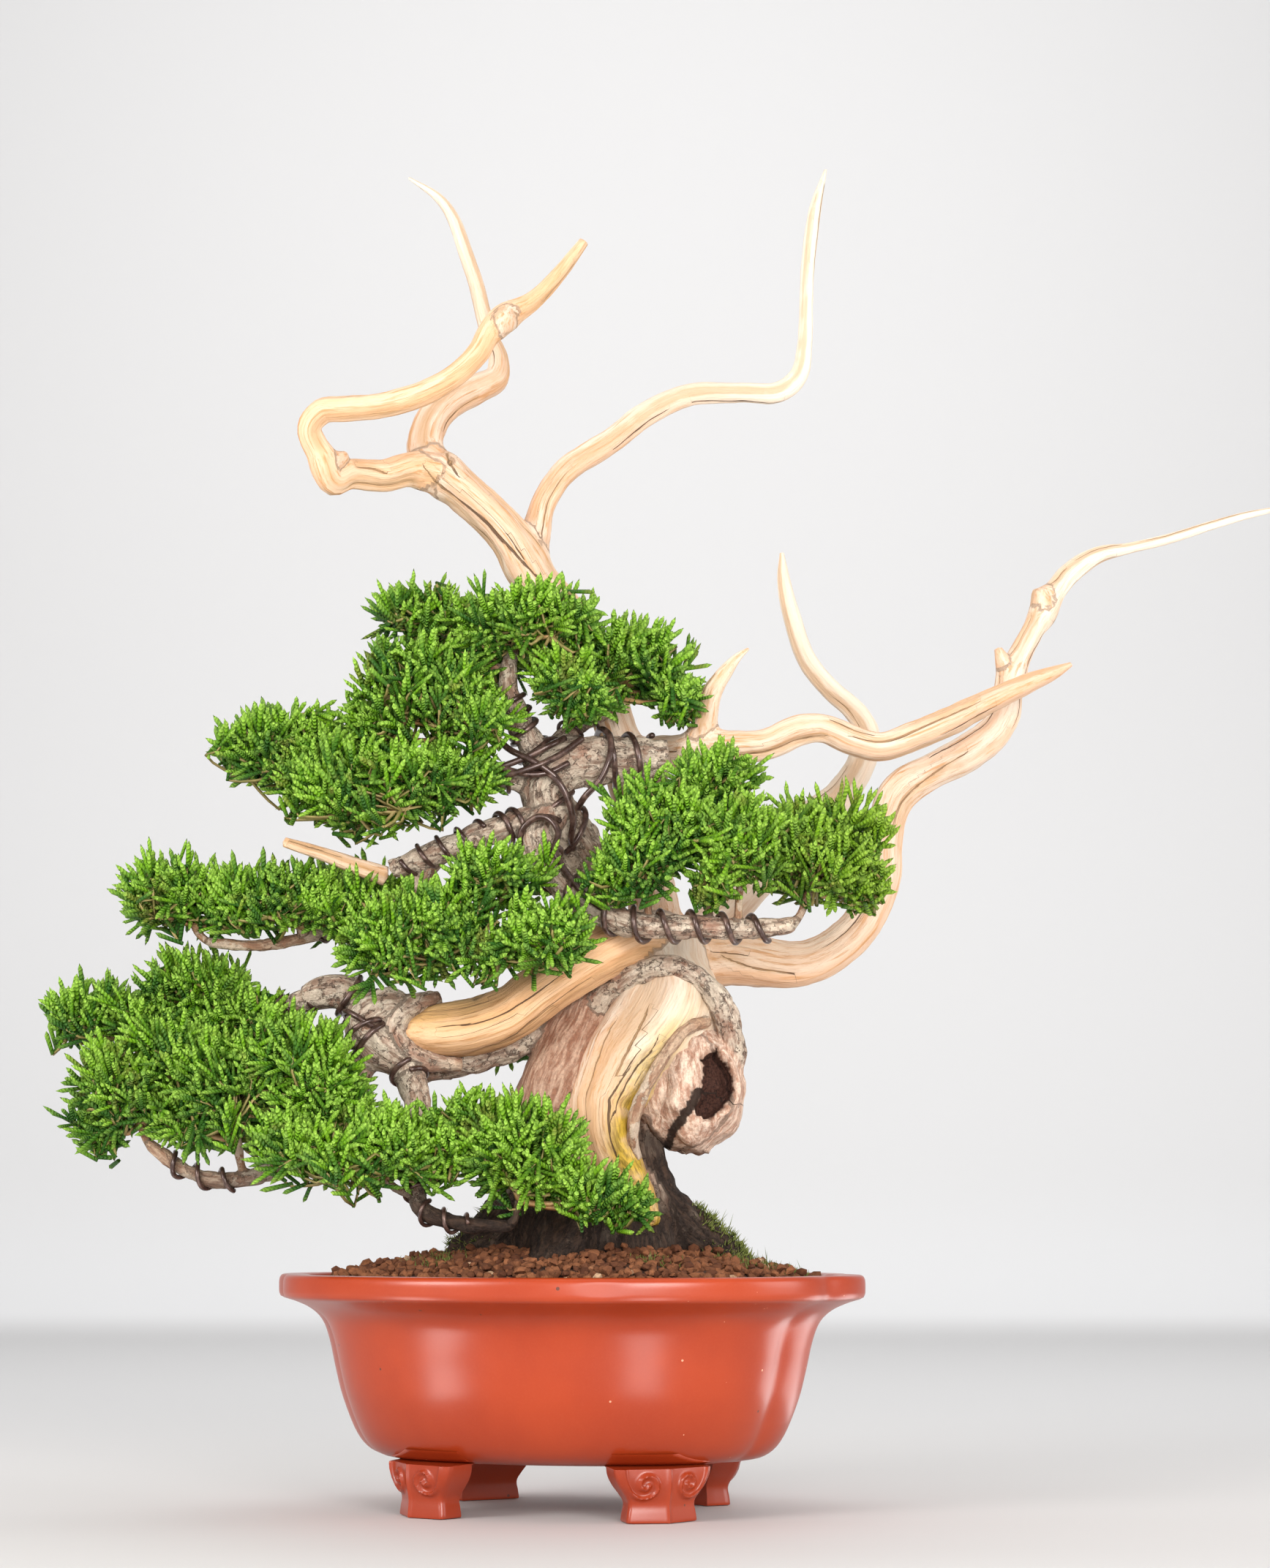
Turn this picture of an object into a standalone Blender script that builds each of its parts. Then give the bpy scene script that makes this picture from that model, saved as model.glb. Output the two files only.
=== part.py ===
"""Chinese juniper bonsai in an oval lobed pot.

The tree stands 60 cm tall. Its trunk and long limbs are mostly bare, bleached wood; narrow strips of
living bark feed a few wired branches, and each of these carries its sprays of scale foliage.
All sizes below are in millimetres and are turned into metres when a mesh is made.

Routes are drawn as seen from in front: across, up and back of the upright plane through the pot's
middle, with a radius. A point pushed back moves away along the line of sight of the eye.
"""
import itertools
import math
import random

import bmesh
import bpy
from mathutils import Matrix, Vector
from mathutils.bvhtree import BVHTree

MM = 0.001
SEED = 20
GAP = 0.3
CUT_GROWTH = 0.4
EYE = Vector((25.0, -1300.0, 122.6))

# Pot: an oval of four lobes, turned a little, on four bracket feet
POT_MIDDLE = (-3.5, 0.0)
POT_TURN = math.radians(-13.0)
RIM_HALF_LENGTH = 128.5
RIM_HALF_DEPTH = 98.0
NOTCH_AT = 18.5
NOTCH_DEPTH = 0.045
NOTCH_SPREAD = 9.0
FLOOR_HEIGHT = 31.0
OUTER_WALL = [(52.0, 24.0), (44.5, 25.6), (38.6, 29.6), (33.8, 37.0), (28.6, 50.0), (22.8, 73.0),
              (19.0, 82.0), (8.0, 89.0), (0.6, 91.4), (0.0, 98.6), (1.6, 101.0)]
INNER_WALL = [(58.0, 31.0), (48.0, 34.0), (40.0, 42.0), (28.0, 78.0), (12.0, 99.0), (12.0, 108.0)]
QUADRANT = [0.0, 10.0, 18.5, 27.0, 40.0, 56.0, 73.0]
FOOT_MIDDLE = (48.0, 41.0)
FOOT_RINGS = [(2.5, 15.6, 12.0), (9.0, 15.0, 11.4), (14.5, 17.4, 13.0), (21.5, 21.5, 14.2),
              (25.5, 21.5, 13.0), (30.0, 18.0, 6.0)]
FOOT_RIDGE = 4.6
FOOT_FACES = math.radians(40.0)
DRAIN_HOLE_RADIUS = 9.0
DRAIN_HOLE_AT = 36.0
SCREEN_SIDE = 26.0
SCREEN_THICKNESS = 0.9

# Soil: a mound of coarse grains, steep at the wall and highest round the trunk
SOIL_INSET = 16.4
SOIL_EDGE = 94.5
SOIL_RISE = 15.0
TRUNK_MOUND = 5.5
TRUNK_MOUND_WIDTH = 52.0
GRAIN = 0.9
SOIL_RINGS = [0.98, 0.92, 0.82, 0.7, 0.57, 0.42, 0.22]

# Bare wood: across, up, back, radius
CORE = [(34, 123, -31, 2.5), (26, 133, -25, 8.6), (17, 145, -20, 12.6), (12, 157, -17, 14.2),
        (11, 170, -15, 15.3), (14, 178, -13, 16.9), (22, 192, -10, 19.7), (34, 206, -8, 23.0),
        (39, 217, -5, 22.5), (37, 228, 0, 19.5), (36, 240, 8, 17.0)]
LEFT_LIMB = [(38, 240, 4, 12.5), (25, 244, -12, 12.4), (13, 240, -20, 12.4), (-1, 232, -22, 12.1),
             (-16, 222, -22, 12.4), (-28, 213, -20, 13.0), (-44, 207, -18, 13.3), (-60, 205, -16, 12.7),
             (-72, 206, -14, 9.8), (-77, 207, -13, 7.0)]
RIGHT_LIMB = [(35, 238, 8, 15.0), (51, 236, 18, 14.0), (67, 236, 24, 12.6), (92, 233, 28, 11.1),
              (108, 238, 30, 10.2), (122, 250, 31, 9.5), (131, 268, 32, 9.2), (133, 287, 33, 9.1),
              (136, 301, 33, 9.0), (142, 311, 32, 9.4), (154, 318, 30, 8.2), (170, 326, 28, 8.8),
              (182, 335, 27, 8.0), (188, 346, 27, 7.2), (190, 359, 28, 6.1), (200, 380, 33, 5.3),
              (212, 400, 37, 5.2), (219, 408, 38, 4.9), (230, 415, 38, 4.0), (243, 418, 38, 2.6),
              (260, 422, 36, 2.4), (279, 428, 34, 2.2), (296, 433, 32, 1.8), (320, 438, 30, 0.8)]
MIDDLE_JIN = [(27, 325, 40, 8.3), (36, 326, 24, 8.5), (47, 327, 9, 8.6), (57, 328, 2, 8.3),
              (68, 329, 0, 7.7), (82, 330, 0, 7.2), (96, 336, 0, 7.2), (108, 337, 1, 6.6),
              (120, 332, 3, 6.7), (133, 329, 4, 6.5), (148, 334, 4, 6.7), (164, 341, 3, 6.7),
              (180, 349, 1, 5.6), (197, 357, -1, 4.6), (209, 362, -2, 3.0), (217, 366, -2, 1.0)]
SHORT_JIN = [(53, 328, 2, 6.6), (56, 343, -2, 5.5), (59, 354, -4, 4.4), (65, 363, -5, 3.2),
             (70, 369, -6, 1.9), (75, 373, -6, 0.6)]
REAR_JIN = [(42, 243, 24, 10.0), (54, 247, 45, 9.6), (70, 262, 60, 8.9), (86, 281, 70, 8.3),
            (102, 297, 75, 7.7), (115, 308, 77, 7.0), (124, 322, 76, 6.4), (127, 335, 74, 5.6),
            (121, 346, 73, 5.0), (111, 355, 71, 4.8), (101, 368, 70, 4.5), (95, 385, 68, 4.2),
            (91, 403, 66, 3.2), (90, 416, 65, 1.0)]
LEADER = [(35, 240, 18, 14.0), (33, 262, 36, 11.8), (29, 281, 42, 10.8), (25, 304, 44, 10.2),
          (20, 323, 42, 10.0), (15, 341, 38, 10.0), (7, 362, 32, 10.3), (-5, 385, 26, 11.0),
          (-19, 403, 22, 10.7), (-33, 426, 18, 10.0), (-49, 442, 15, 9.7), (-65, 455, 12, 9.1)]
TOP_LEFT_JIN = [(-60, 452, 12, 8.4), (-75, 454, 6, 7.2), (-87, 451, 0, 6.5), (-101, 452, -8, 6.2),
                (-110, 449, -14, 5.7), (-115, 461, -20, 5.5), (-120, 473, -26, 5.6),
                (-114, 481, -28, 5.8), (-104, 482, -30, 5.8), (-85, 484, -32, 5.5),
                (-67, 490, -34, 5.2), (-54, 498, -34, 4.9), (-45, 507, -35, 4.9), (-40, 517, -35, 5.0),
                (-33, 524, -35, 5.4), (-20, 532, -34, 3.9), (-9, 544, -33, 3.3), (2, 559, -32, 2.3)]
TOP_REAR_JIN = [(-64, 450, 13, 8.4), (-68, 464, 17, 7.6), (-65, 476, 22, 7.2), (-57, 485, 26, 6.8),
                (-46, 491, 31, 6.2), (-37, 496, 35, 5.4), (-36, 505, 38, 4.6), (-40, 515, 39, 4.1),
                (-43, 526, 40, 3.9), (-47, 541, 41, 3.8), (-52, 556, 42, 3.6), (-57, 570, 43, 3.1),
                (-64, 580, 44, 2.2), (-77, 589, 45, 0.6)]
TOP_RIGHT_JIN = [(-23, 410, 22, 8.4), (-19, 425, 27, 6.6), (-15, 440, 30, 5.6), (-5, 454, 34, 5.5),
                 (13, 466, 38, 5.4), (31, 480, 42, 5.2), (49, 488, 46, 4.9), (71, 489, 50, 4.6),
                 (88, 489, 52, 4.9), (98, 497, 53, 4.2), (101, 512, 54, 3.4), (102, 532, 55, 3.1),
                 (103, 549, 55, 3.1), (106, 573, 56, 2.8), (111, 593, 56, 0.6)]
LEFT_STUB = [(-86, 273, -9, 4.1), (-98, 277, -12, 3.4), (-112, 282, -16, 2.9), (-128, 287, -21, 2.2)]

# Living wood under bark: across, up, back, radius
TRUNK = [(6, 100, 2, 42.0), (6, 110, 2, 42.0), (5, 119, 3, 39.5), (3, 130, 4, 35.5), (1, 145, 6, 31.5),
         (-1, 161, 8, 28.5), (-2, 177, 9, 25.0), (1, 192, 9, 21.0), (6, 206, 9, 16.0)]
LIVE_STRIP = [(-12, 166, -4, 15.5), (-9, 180, -5, 15.0), (-3, 194, -4, 14.2), (4, 209, -2, 13.0),
              (9, 224, 5, 11.8), (9, 240, 13, 10.6), (9, 259, 17, 10.2), (6, 275, 13, 9.8),
              (-1, 288, 4, 10.0), (-11, 300, -2, 10.2), (-14, 311, -6, 10.3), (-7, 320, -6, 10.6),
              (6, 323, -4, 10.6), (19, 323, -2, 10.2), (29, 323, 0, 9.8), (38, 323, 1, 9.4)]
BARK_ARCH = [(8, 214, -8, 7.0), (17, 223, -14, 5.4), (25, 229, -20, 4.7), (37, 233, -22, 4.6),
             (49, 230, -22, 4.6), (59, 221, -20, 4.9), (65, 209, -16, 5.4), (67, 195, -12, 5.8),
             (66, 180, -9, 6.0), (61, 166, -7, 6.4), (52, 157, -6, 6.8)]
KNOB_MIDDLE = (48.5, 180.5, -5)
KNOB_HALF = (25.0, 23.0, 28.5)
HOLLOW_MIDDLE = (61, 179, -27)
HOLLOW_HALF = (5.0, 13.0, 11.0)
RIGHT_ROOT = [(28, 163, -6, 9.0), (32, 148, -7, 10.5), (38, 133, -7, 12.5), (50, 120, -6, 13.5),
              (63, 109, -4, 11.5), (78, 98, -2, 7.0)]
LEFT_ROOT = [(-10, 134, -4, 20.0), (-27, 120, -5, 16.5), (-42, 109, -4, 12.0), (-58, 99, 0, 7.5)]
FRONT_ROOT = [(4, 130, -16, 18.0), (-3, 117, -28, 15.0), (-10, 106, -40, 11.0), (-16, 98, -52, 7.0)]
REAR_ROOT = [(8, 130, 20, 18.0), (13, 116, 34, 15.0), (20, 105, 46, 11.0), (26, 97, 58, 7.0)]
APEX_BRANCH = [(-13, 315, -4, 7.0), (-21, 331, -8, 5.8), (-28, 347, -12, 4.6), (-31, 359, -12, 3.9),
               (-29, 374, -10, 3.2)]
CROWN_BRANCH = [(-14, 322, -4, 5.0), (-4, 336, 0, 4.0), (14, 345, 6, 3.0)]
UPPER_LEFT_BRANCH = [(-16, 311, -6, 5.0), (-32, 315, -12, 4.2), (-54, 314, -12, 3.6),
                     (-80, 308, -8, 3.2), (-106, 308, -4, 2.8)]
LEFT_BRANCH = [(-8, 298, -4, 7.0), (-29, 294, -13, 5.8), (-48, 288, -17, 5.0), (-66, 281, -14, 4.4),
               (-80, 275, -9, 4.2)]
MIDDLE_LEFT_BRANCH = [(-60, 283, -15, 3.8), (-70, 268, -8, 3.5), (-86, 257, -2, 3.2), (-108, 248, 2, 2.9),
                      (-136, 242, 2, 2.6), (-160, 243, 2, 2.2)]
FRONT_BRANCH = [(-44, 289, -17, 4.2), (-47, 276, -32, 3.8), (-52, 256, -44, 3.4), (-58, 238, -46, 3.0)]
RIGHT_BRANCH = [(-8, 303, -3, 7.4), (-15, 294, -13, 7.2), (-16, 282, -22, 7.0), (-8, 270, -30, 6.6),
                (5, 259, -38, 6.0), (26, 251, -44, 5.4), (51, 250, -47, 4.8), (77, 249, -48, 4.1),
                (94, 251, -48, 3.5)]
LOW_VEIN = [(-4, 212, 4, 8.0), (-16, 205, -2, 6.6), (-30, 198, -4, 6.2), (-44, 193, -5, 6.2),
            (-60, 190, -6, 6.6), (-74, 193, -8, 7.2), (-85, 202, -10, 8.4), (-93, 214, -10, 8.6),
            (-102, 222, -10, 6.6), (-118, 220, -8, 4.6)]
LOW_LEFT_BRANCH = [(-104, 221, -10, 5.0), (-124, 216, -4, 4.2), (-146, 208, 6, 3.6),
                   (-172, 202, 12, 3.0), (-196, 201, 14, 2.4)]
HANGING_BRANCH = [(-86, 204, -10, 6.4), (-94, 188, -20, 5.4), (-104, 166, -24, 4.6),
                  (-122, 149, -20, 4.0), (-146, 141, -16, 3.5), (-166, 144, -13, 3.1),
                  (-184, 156, -11, 2.6)]
FRONT_LOW_BRANCH = [(-76, 194, -10, 6.4), (-71, 181, -26, 5.4), (-67, 164, -42, 4.6),
                    (-69, 143, -50, 4.0), (-66, 128, -54, 3.6), (-48, 122, -58, 3.1),
                    (-28, 121, -62, 2.6)]
REAR_LOW_BRANCH = [(-6, 197, 0, 5.0), (-12, 198, 26, 3.8), (-18, 194, 46, 3.0)]
BRANCH_SIDES = {"LIVE_STRIP": 8, "LOW_VEIN": 6, "RIGHT_BRANCH": 6}

# Wires: the branch that each is wound on, where from and to along it, turns, start angle and radius
WIRES = [("wire_trunk", "LIVE_STRIP", 0.88, 0.975, 2.0, 0.4, 1.35),
         ("wire_right_branch", "RIGHT_BRANCH", 0.44, 0.93, 6.0, 4.1, 1.3),
         ("wire_left_branch", "LEFT_BRANCH", 0.25, 0.37, 1.6, 1.0, 1.2),
         ("wire_apex_branch", "APEX_BRANCH", 0.36, 0.62, 2.5, 0.5, 1.2),
         ("wire_low_branch", "LOW_VEIN", 0.78, 0.86, 1.6, 0.0, 1.4),
         ("wire_hanging_branch", "HANGING_BRANCH", 0.70, 0.92, 2.5, 0.0, 1.1)]

WIRE_STEPS = 8

# Foliage sprays: the branch that carries each, where along it, middle and half sizes across, up, back
SPRAYS = [("spray_apex_front", "APEX_BRANCH", 0.97, (-20, 384, -20), (32, 20, 24)),
          ("spray_apex_left", "APEX_BRANCH", 0.80, (-67, 387, 0), (22, 15, 20)),
          ("spray_apex_right", "CROWN_BRANCH", 0.97, (19, 364, 4), (34, 25, 26)),
          ("spray_apex_low", "UPPER_LEFT_BRANCH", 0.38, (-68, 350, -22), (34, 30, 24)),
          ("spray_apex_rear", "APEX_BRANCH", 0.72, (-42, 374, 34), (32, 24, 22)),
          ("spray_shoulder_left", "UPPER_LEFT_BRANCH", 0.97, (-132, 325, -4), (31, 24, 26)),
          ("spray_shoulder_front", "UPPER_LEFT_BRANCH", 0.66, (-92, 308, -28), (40, 24, 22)),
          ("spray_shoulder_rear", "UPPER_LEFT_BRANCH", 0.80, (-96, 312, 28), (34, 22, 24)),
          ("spray_middle_left", "MIDDLE_LEFT_BRANCH", 0.99, (-176, 261, 2), (23, 21, 24)),
          ("spray_middle_inner", "MIDDLE_LEFT_BRANCH", 0.62, (-130, 260, -8), (30, 20, 22)),
          ("spray_middle_rear", "MIDDLE_LEFT_BRANCH", 0.40, (-92, 256, 34), (34, 22, 24)),
          ("spray_front_left", "FRONT_BRANCH", 0.98, (-75, 243, -52), (27, 25, 22)),
          ("spray_front_top", "FRONT_BRANCH", 0.45, (-36, 270, -50), (24, 17, 20)),
          ("spray_front_right", "FRONT_BRANCH", 0.80, (-14, 245, -64), (21, 20, 18)),
          ("spray_tip_far_left", "LOW_LEFT_BRANCH", 0.99, (-213, 210, 16), (23, 18, 22)),
          ("spray_tip_left", "LOW_LEFT_BRANCH", 0.60, (-164, 220, 12), (28, 19, 26)),
          ("spray_low_far_left", "HANGING_BRANCH", 0.99, (-194, 178, -12), (24, 24, 24)),
          ("spray_low_left", "HANGING_BRANCH", 0.66, (-150, 176, -26), (27, 30, 22)),
          ("spray_low_inner", "HANGING_BRANCH", 0.36, (-113, 182, -44), (22, 26, 20)),
          ("spray_low_rear", "HANGING_BRANCH", 0.50, (-136, 172, 22), (32, 26, 22)),
          ("spray_skirt_left", "FRONT_LOW_BRANCH", 0.62, (-99, 149, -64), (34, 20, 22)),
          ("spray_skirt_middle", "FRONT_LOW_BRANCH", 0.46, (-46, 163, -58), (18, 17, 16)),
          ("spray_skirt_right", "FRONT_LOW_BRANCH", 0.99, (-8, 146, -68), (38, 28, 20)),
          ("spray_right_inner", "RIGHT_BRANCH", 0.60, (31, 287, -50), (24, 28, 20)),
          ("spray_right_top", "RIGHT_BRANCH", 0.763, (58, 312, -34), (19, 18, 18)),
          ("spray_right_middle", "RIGHT_BRANCH", 0.845, (72, 286, -60), (18, 22, 18)),
          ("spray_right_outer", "RIGHT_BRANCH", 0.99, (108, 280, -46), (26, 26, 26)),
          ("spray_rear_low", "REAR_LOW_BRANCH", 0.99, (-26, 202, 64), (20, 16, 20))]
SHOOT_LENGTH = 10.5
SHOOT_SHARES = (1.0, 0.8, 0.6)
SHORTEST_STEM = 14.0
SHOOT_RADIUS = 0.6
SHOOT_CLEAR = 0.35
MAIN_STEM_RADIUS = 1.5
MAIN_STEM_STEP = 3.2
STEM_RADIUS = 1.15
STEM_STEP = 4.9
STEM_REACH = 0.86
TWIG_RADIUS = 1.9
TWIG_STEP = 14.0
STEMS_FOR_AREA = 0.0021
SHOOT_LEAN_REAR = math.radians(58.0)
SHOOT_LEAN_FRONT = math.radians(40.0)
SHOOT_SPREAD = 0.16
SHOOT_LIFT = 0.2
CELL = 20.0
TRIES = 12


def seen(across, up, back):
    """Point that is seen at across and up, pushed back along the line of sight."""
    on_plane = Vector((across, 0.0, up))
    return EYE + (on_plane - EYE) * ((back - EYE.y) / -EYE.y)


def clear_scene():
    """Start from an empty file."""
    for thing in list(bpy.data.objects):
        bpy.data.objects.remove(thing)


def finish_material(name, colour, roughness):
    """Plain non-metal finish of one piece."""
    made = bpy.data.materials.new(name)
    made.use_nodes = True
    shader = made.node_tree.nodes["Principled BSDF"]
    shader.inputs["Base Color"].default_value = (*colour, 1.0)
    shader.inputs["Roughness"].default_value = roughness
    shader.inputs["Metallic"].default_value = 0.0
    return made


def add_mesh(name, points, faces):
    """Object from points in millimetres, with its faces turned outward."""
    mesh = bpy.data.meshes.new(name)
    mesh.from_pydata([tuple(p * MM for p in point) for point in points], [], faces)
    shape = bmesh.new()
    shape.from_mesh(mesh)
    bmesh.ops.recalc_face_normals(shape, faces=shape.faces)
    shape.to_mesh(mesh)
    shape.free()
    made = bpy.data.objects.new(name, mesh)
    bpy.context.scene.collection.objects.link(made)
    return made


def combine(base, others, operation, solver):
    """Join the others to the base, or cut them from it, with one Boolean on a collection."""
    if not others:
        return base
    group = bpy.data.collections.new(base.name + "_group")
    bpy.context.scene.collection.children.link(group)
    for other in others:
        bpy.context.scene.collection.objects.unlink(other)
        group.objects.link(other)
    boolean = base.modifiers.new("combine", "BOOLEAN")
    boolean.operation = operation
    boolean.operand_type = "COLLECTION"
    boolean.collection = group
    boolean.solver = solver
    bpy.ops.object.select_all(action="DESELECT")
    bpy.context.view_layer.objects.active = base
    base.select_set(True)
    bpy.ops.object.modifier_apply(modifier="combine")
    for other in others:
        bpy.data.objects.remove(other)
    bpy.data.collections.remove(group)
    return base


def drop_scraps(made):
    """Keep only the largest body of a mesh that a cut has left in pieces."""
    shape = bmesh.new()
    shape.from_mesh(made.data)
    left = set(shape.verts)
    bodies = []
    while left:
        body = {left.pop()}
        reach = list(body)
        while reach:
            for edge in reach.pop().link_edges:
                fresh = [vert for vert in edge.verts if vert not in body]
                body.update(fresh)
                reach.extend(fresh)
        left -= body
        bodies.append(body)
    for body in sorted(bodies, key=len)[:-1]:
        bmesh.ops.delete(shape, geom=list(body), context="VERTS")
    shape.to_mesh(made.data)
    shape.free()


def catmull(before, start, end, after, t):
    """Smooth curve value between start and end."""
    return 0.5 * (2.0 * start + (end - before) * t
                  + (2.0 * before - 5.0 * start + 4.0 * end - after) * t * t
                  + (3.0 * start - before - 3.0 * end + after) * t * t * t)


def sample(knots, spacing):
    """Rings along a smooth curve through knots of (point, radius), about as far apart as spacing says."""
    values = [Vector((*point, radius)) for point, radius in knots]
    values = [values[0] * 2.0 - values[1]] + values + [values[-1] * 2.0 - values[-2]]
    fine = []
    for i in range(1, len(values) - 2):
        for k in range(12):
            fine.append(catmull(values[i - 1], values[i], values[i + 1], values[i + 2], k / 12.0))
    fine.append(values[-2])
    rings = [fine[0]]
    travelled = 0.0
    for last, now in zip(fine, fine[1:]):
        travelled += (now.xyz - last.xyz).length
        if travelled >= spacing(now.w):
            rings.append(now)
            travelled = 0.0
    if travelled < 0.45 * spacing(fine[-1].w) and len(rings) > 2:
        rings.pop()
    rings.append(fine[-1])
    return [(ring.xyz, max(ring.w, 0.4)) for ring in rings]


def limb_spacing(radius):
    """Distance between the rings of a bare limb."""
    return 8.0 + 0.72 * radius


def bark_spacing(radius):
    """Distance between the rings of a barked limb."""
    return 9.0 + 0.85 * radius


def route_rings(route, spacing=limb_spacing):
    """Rings of a route drawn as seen from in front."""
    return sample([(seen(across, up, back), radius) for across, up, back, radius in route], spacing)


def frames(rings):
    """Direction and two side directions at each ring, carried along without a twist."""
    points = [point for point, radius in rings]
    made = []
    side = None
    for i, point in enumerate(points):
        ahead = points[min(i + 1, len(points) - 1)]
        behind = points[max(i - 1, 0)]
        along = (ahead - behind).normalized()
        if side is None:
            side = along.cross(Vector((0.31, 0.94, 0.12))).normalized()
        side = (side - along * side.dot(along)).normalized()
        made.append((along, side, along.cross(side)))
    return made


def tube_mesh(rings, sides, flute=0.0, twist=0.0, grow=0.0, dome=0.35):
    """Points and faces of a closed tube with a slightly fluted, turning section."""
    points = []
    faces = []
    turned = frames(rings)
    length = 0.0
    for i, (centre, radius) in enumerate(rings):
        along, side, other = turned[i]
        if i:
            length += (centre - rings[i - 1][0]).length
        for k in range(sides):
            angle = 2.0 * math.pi * k / sides
            reach = radius * (1.0 + flute * math.cos(2.0 * angle + twist * length)) + grow
            shift = along * (grow if i == len(rings) - 1 else (-grow if i == 0 else 0.0))
            points.append(centre + shift + (side * math.cos(angle) + other * math.sin(angle)) * reach)
    for i in range(len(rings) - 1):
        for k in range(sides):
            a = i * sides + k
            b = i * sides + (k + 1) % sides
            faces.append((a, b, b + sides))
            faces.append((a, b + sides, a + sides))
    for i, way in ((0, -1.0), (len(rings) - 1, 1.0)):
        centre, radius = rings[i]
        tip = len(points)
        points.append(centre + turned[i][0] * way * (radius * dome + grow))
        for k in range(sides):
            a = i * sides + k
            b = i * sides + (k + 1) % sides
            faces.append((a, b, tip))
    return points, faces


def tube(name, rings, sides, **options):
    """Object of a closed tube."""
    return add_mesh(name, *tube_mesh(rings, sides, **options))


def shade(made, angle=40.0):
    """Smooth shading up to an edge angle."""
    made.data.shade_smooth()
    made.data.set_sharp_from_angle(angle=math.radians(angle))


def pot_outline(degrees, inset):
    """Point of the lobed outline, a set distance inside the rim."""
    turn = math.radians(degrees)
    fold = abs((degrees + 90.0) % 180.0 - 90.0)
    notch = NOTCH_DEPTH * math.exp(-abs(fold - NOTCH_AT) / NOTCH_SPREAD)
    x = (RIM_HALF_LENGTH - inset) * math.cos(turn) * (1.0 - notch)
    y = (RIM_HALF_DEPTH - inset) * math.sin(turn) * (1.0 - notch)
    return x, y


def all_round(quadrant):
    """Angles of the whole outline from those of one quarter."""
    half = quadrant + [180.0 - angle for angle in reversed(quadrant[1:])]
    half.insert(len(quadrant), 90.0)
    return half + [angle + 180.0 for angle in half]


def in_pot(x, y):
    """Place of a point given along the pot's own length and depth."""
    across = x * math.cos(POT_TURN) - y * math.sin(POT_TURN) + POT_MIDDLE[0]
    away = x * math.sin(POT_TURN) + y * math.cos(POT_TURN) + POT_MIDDLE[1]
    return across, away


def stacked(name, rings, closed_at):
    """Solid through rings of equal length, closed by a point above and below."""
    points = [point for ring in rings for point in ring]
    faces = []
    count = len(rings[0])
    for i in range(len(rings) - 1):
        for k in range(count):
            a = i * count + k
            b = i * count + (k + 1) % count
            faces.append((a, b, b + count))
            faces.append((a, b + count, a + count))
    for first, end in ((0, closed_at[0]), ((len(rings) - 1) * count, closed_at[1])):
        tip = len(points)
        points.append(end)
        for k in range(count):
            faces.append((first + k, first + (k + 1) % count, tip))
    return add_mesh(name, points, faces)


def wall_solid(name, wall, angles, shrink=0.0):
    """Solid inside a wall profile of (inset, height)."""
    rings = []
    for inset, height in wall:
        ring = [pot_outline(angle, inset + shrink) for angle in angles]
        rings.append([(*in_pot(x, y), height) for x, y in ring])
    low = (*in_pot(0.0, 0.0), wall[0][1])
    high = (*in_pot(0.0, 0.0), wall[-1][1])
    return stacked(name, rings, (low, high))


def foot(name, to_right, to_back):
    """Bracket foot: a tapered block with a ridge down its broad diagonal face."""
    outward = Vector((to_right * math.sin(FOOT_FACES), to_back * math.cos(FOOT_FACES), 0.0))
    sideways = Vector((-outward.y, outward.x, 0.0))
    middle = Vector((FOOT_MIDDLE[0] * to_right, FOOT_MIDDLE[1] * to_back, 0.0))
    rings = []
    for height, half, deep in FOOT_RINGS:
        face = deep / 2.0
        corners = [(-half, face - 1.0), (0.0, face + FOOT_RIDGE), (half, face - 1.0), (half - 2.5, -face),
                   (2.5 - half, -face)]
        ring = []
        for along, out in corners:
            spot = middle + sideways * along + outward * out
            ring.append((*in_pot(spot.x, spot.y), height))
        rings.append(ring)
    low = (*in_pot(middle.x, middle.y), FOOT_RINGS[0][0])
    high = (*in_pot(middle.x, middle.y), FOOT_RINGS[-1][0])
    return stacked(name, rings, (low, high))


def round_cutter(name, x, y, low, high, radius):
    """Upright cylinder in the pot's own length and depth."""
    ring = []
    for k in range(14):
        turn = 2.0 * math.pi * k / 14
        ring.append((x + radius * math.cos(turn), y + radius * math.sin(turn)))
    rings = [[(*in_pot(px, py), height) for px, py in ring] for height in (low, high)]
    return stacked(name, rings, ((*in_pot(x, y), low), (*in_pot(x, y), high)))


def build_pot(material):
    """Pot wall with its lip, feet and two drain holes."""
    pot = wall_solid("pot", OUTER_WALL, all_round(QUADRANT))
    feet = [foot("foot", to_right, to_back) for to_right in (-1, 1) for to_back in (-1, 1)]
    combine(pot, feet, "UNION", "EXACT")
    cuts = [wall_solid("inside", INNER_WALL, all_round(QUADRANT))]
    for way in (-1, 1):
        cuts.append(round_cutter("drain", way * DRAIN_HOLE_AT, 0.0, 15.0, 40.0, DRAIN_HOLE_RADIUS))
    combine(pot, cuts, "DIFFERENCE", "EXACT")
    pot.data.materials.append(material)
    shade(pot, 38.0)


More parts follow.
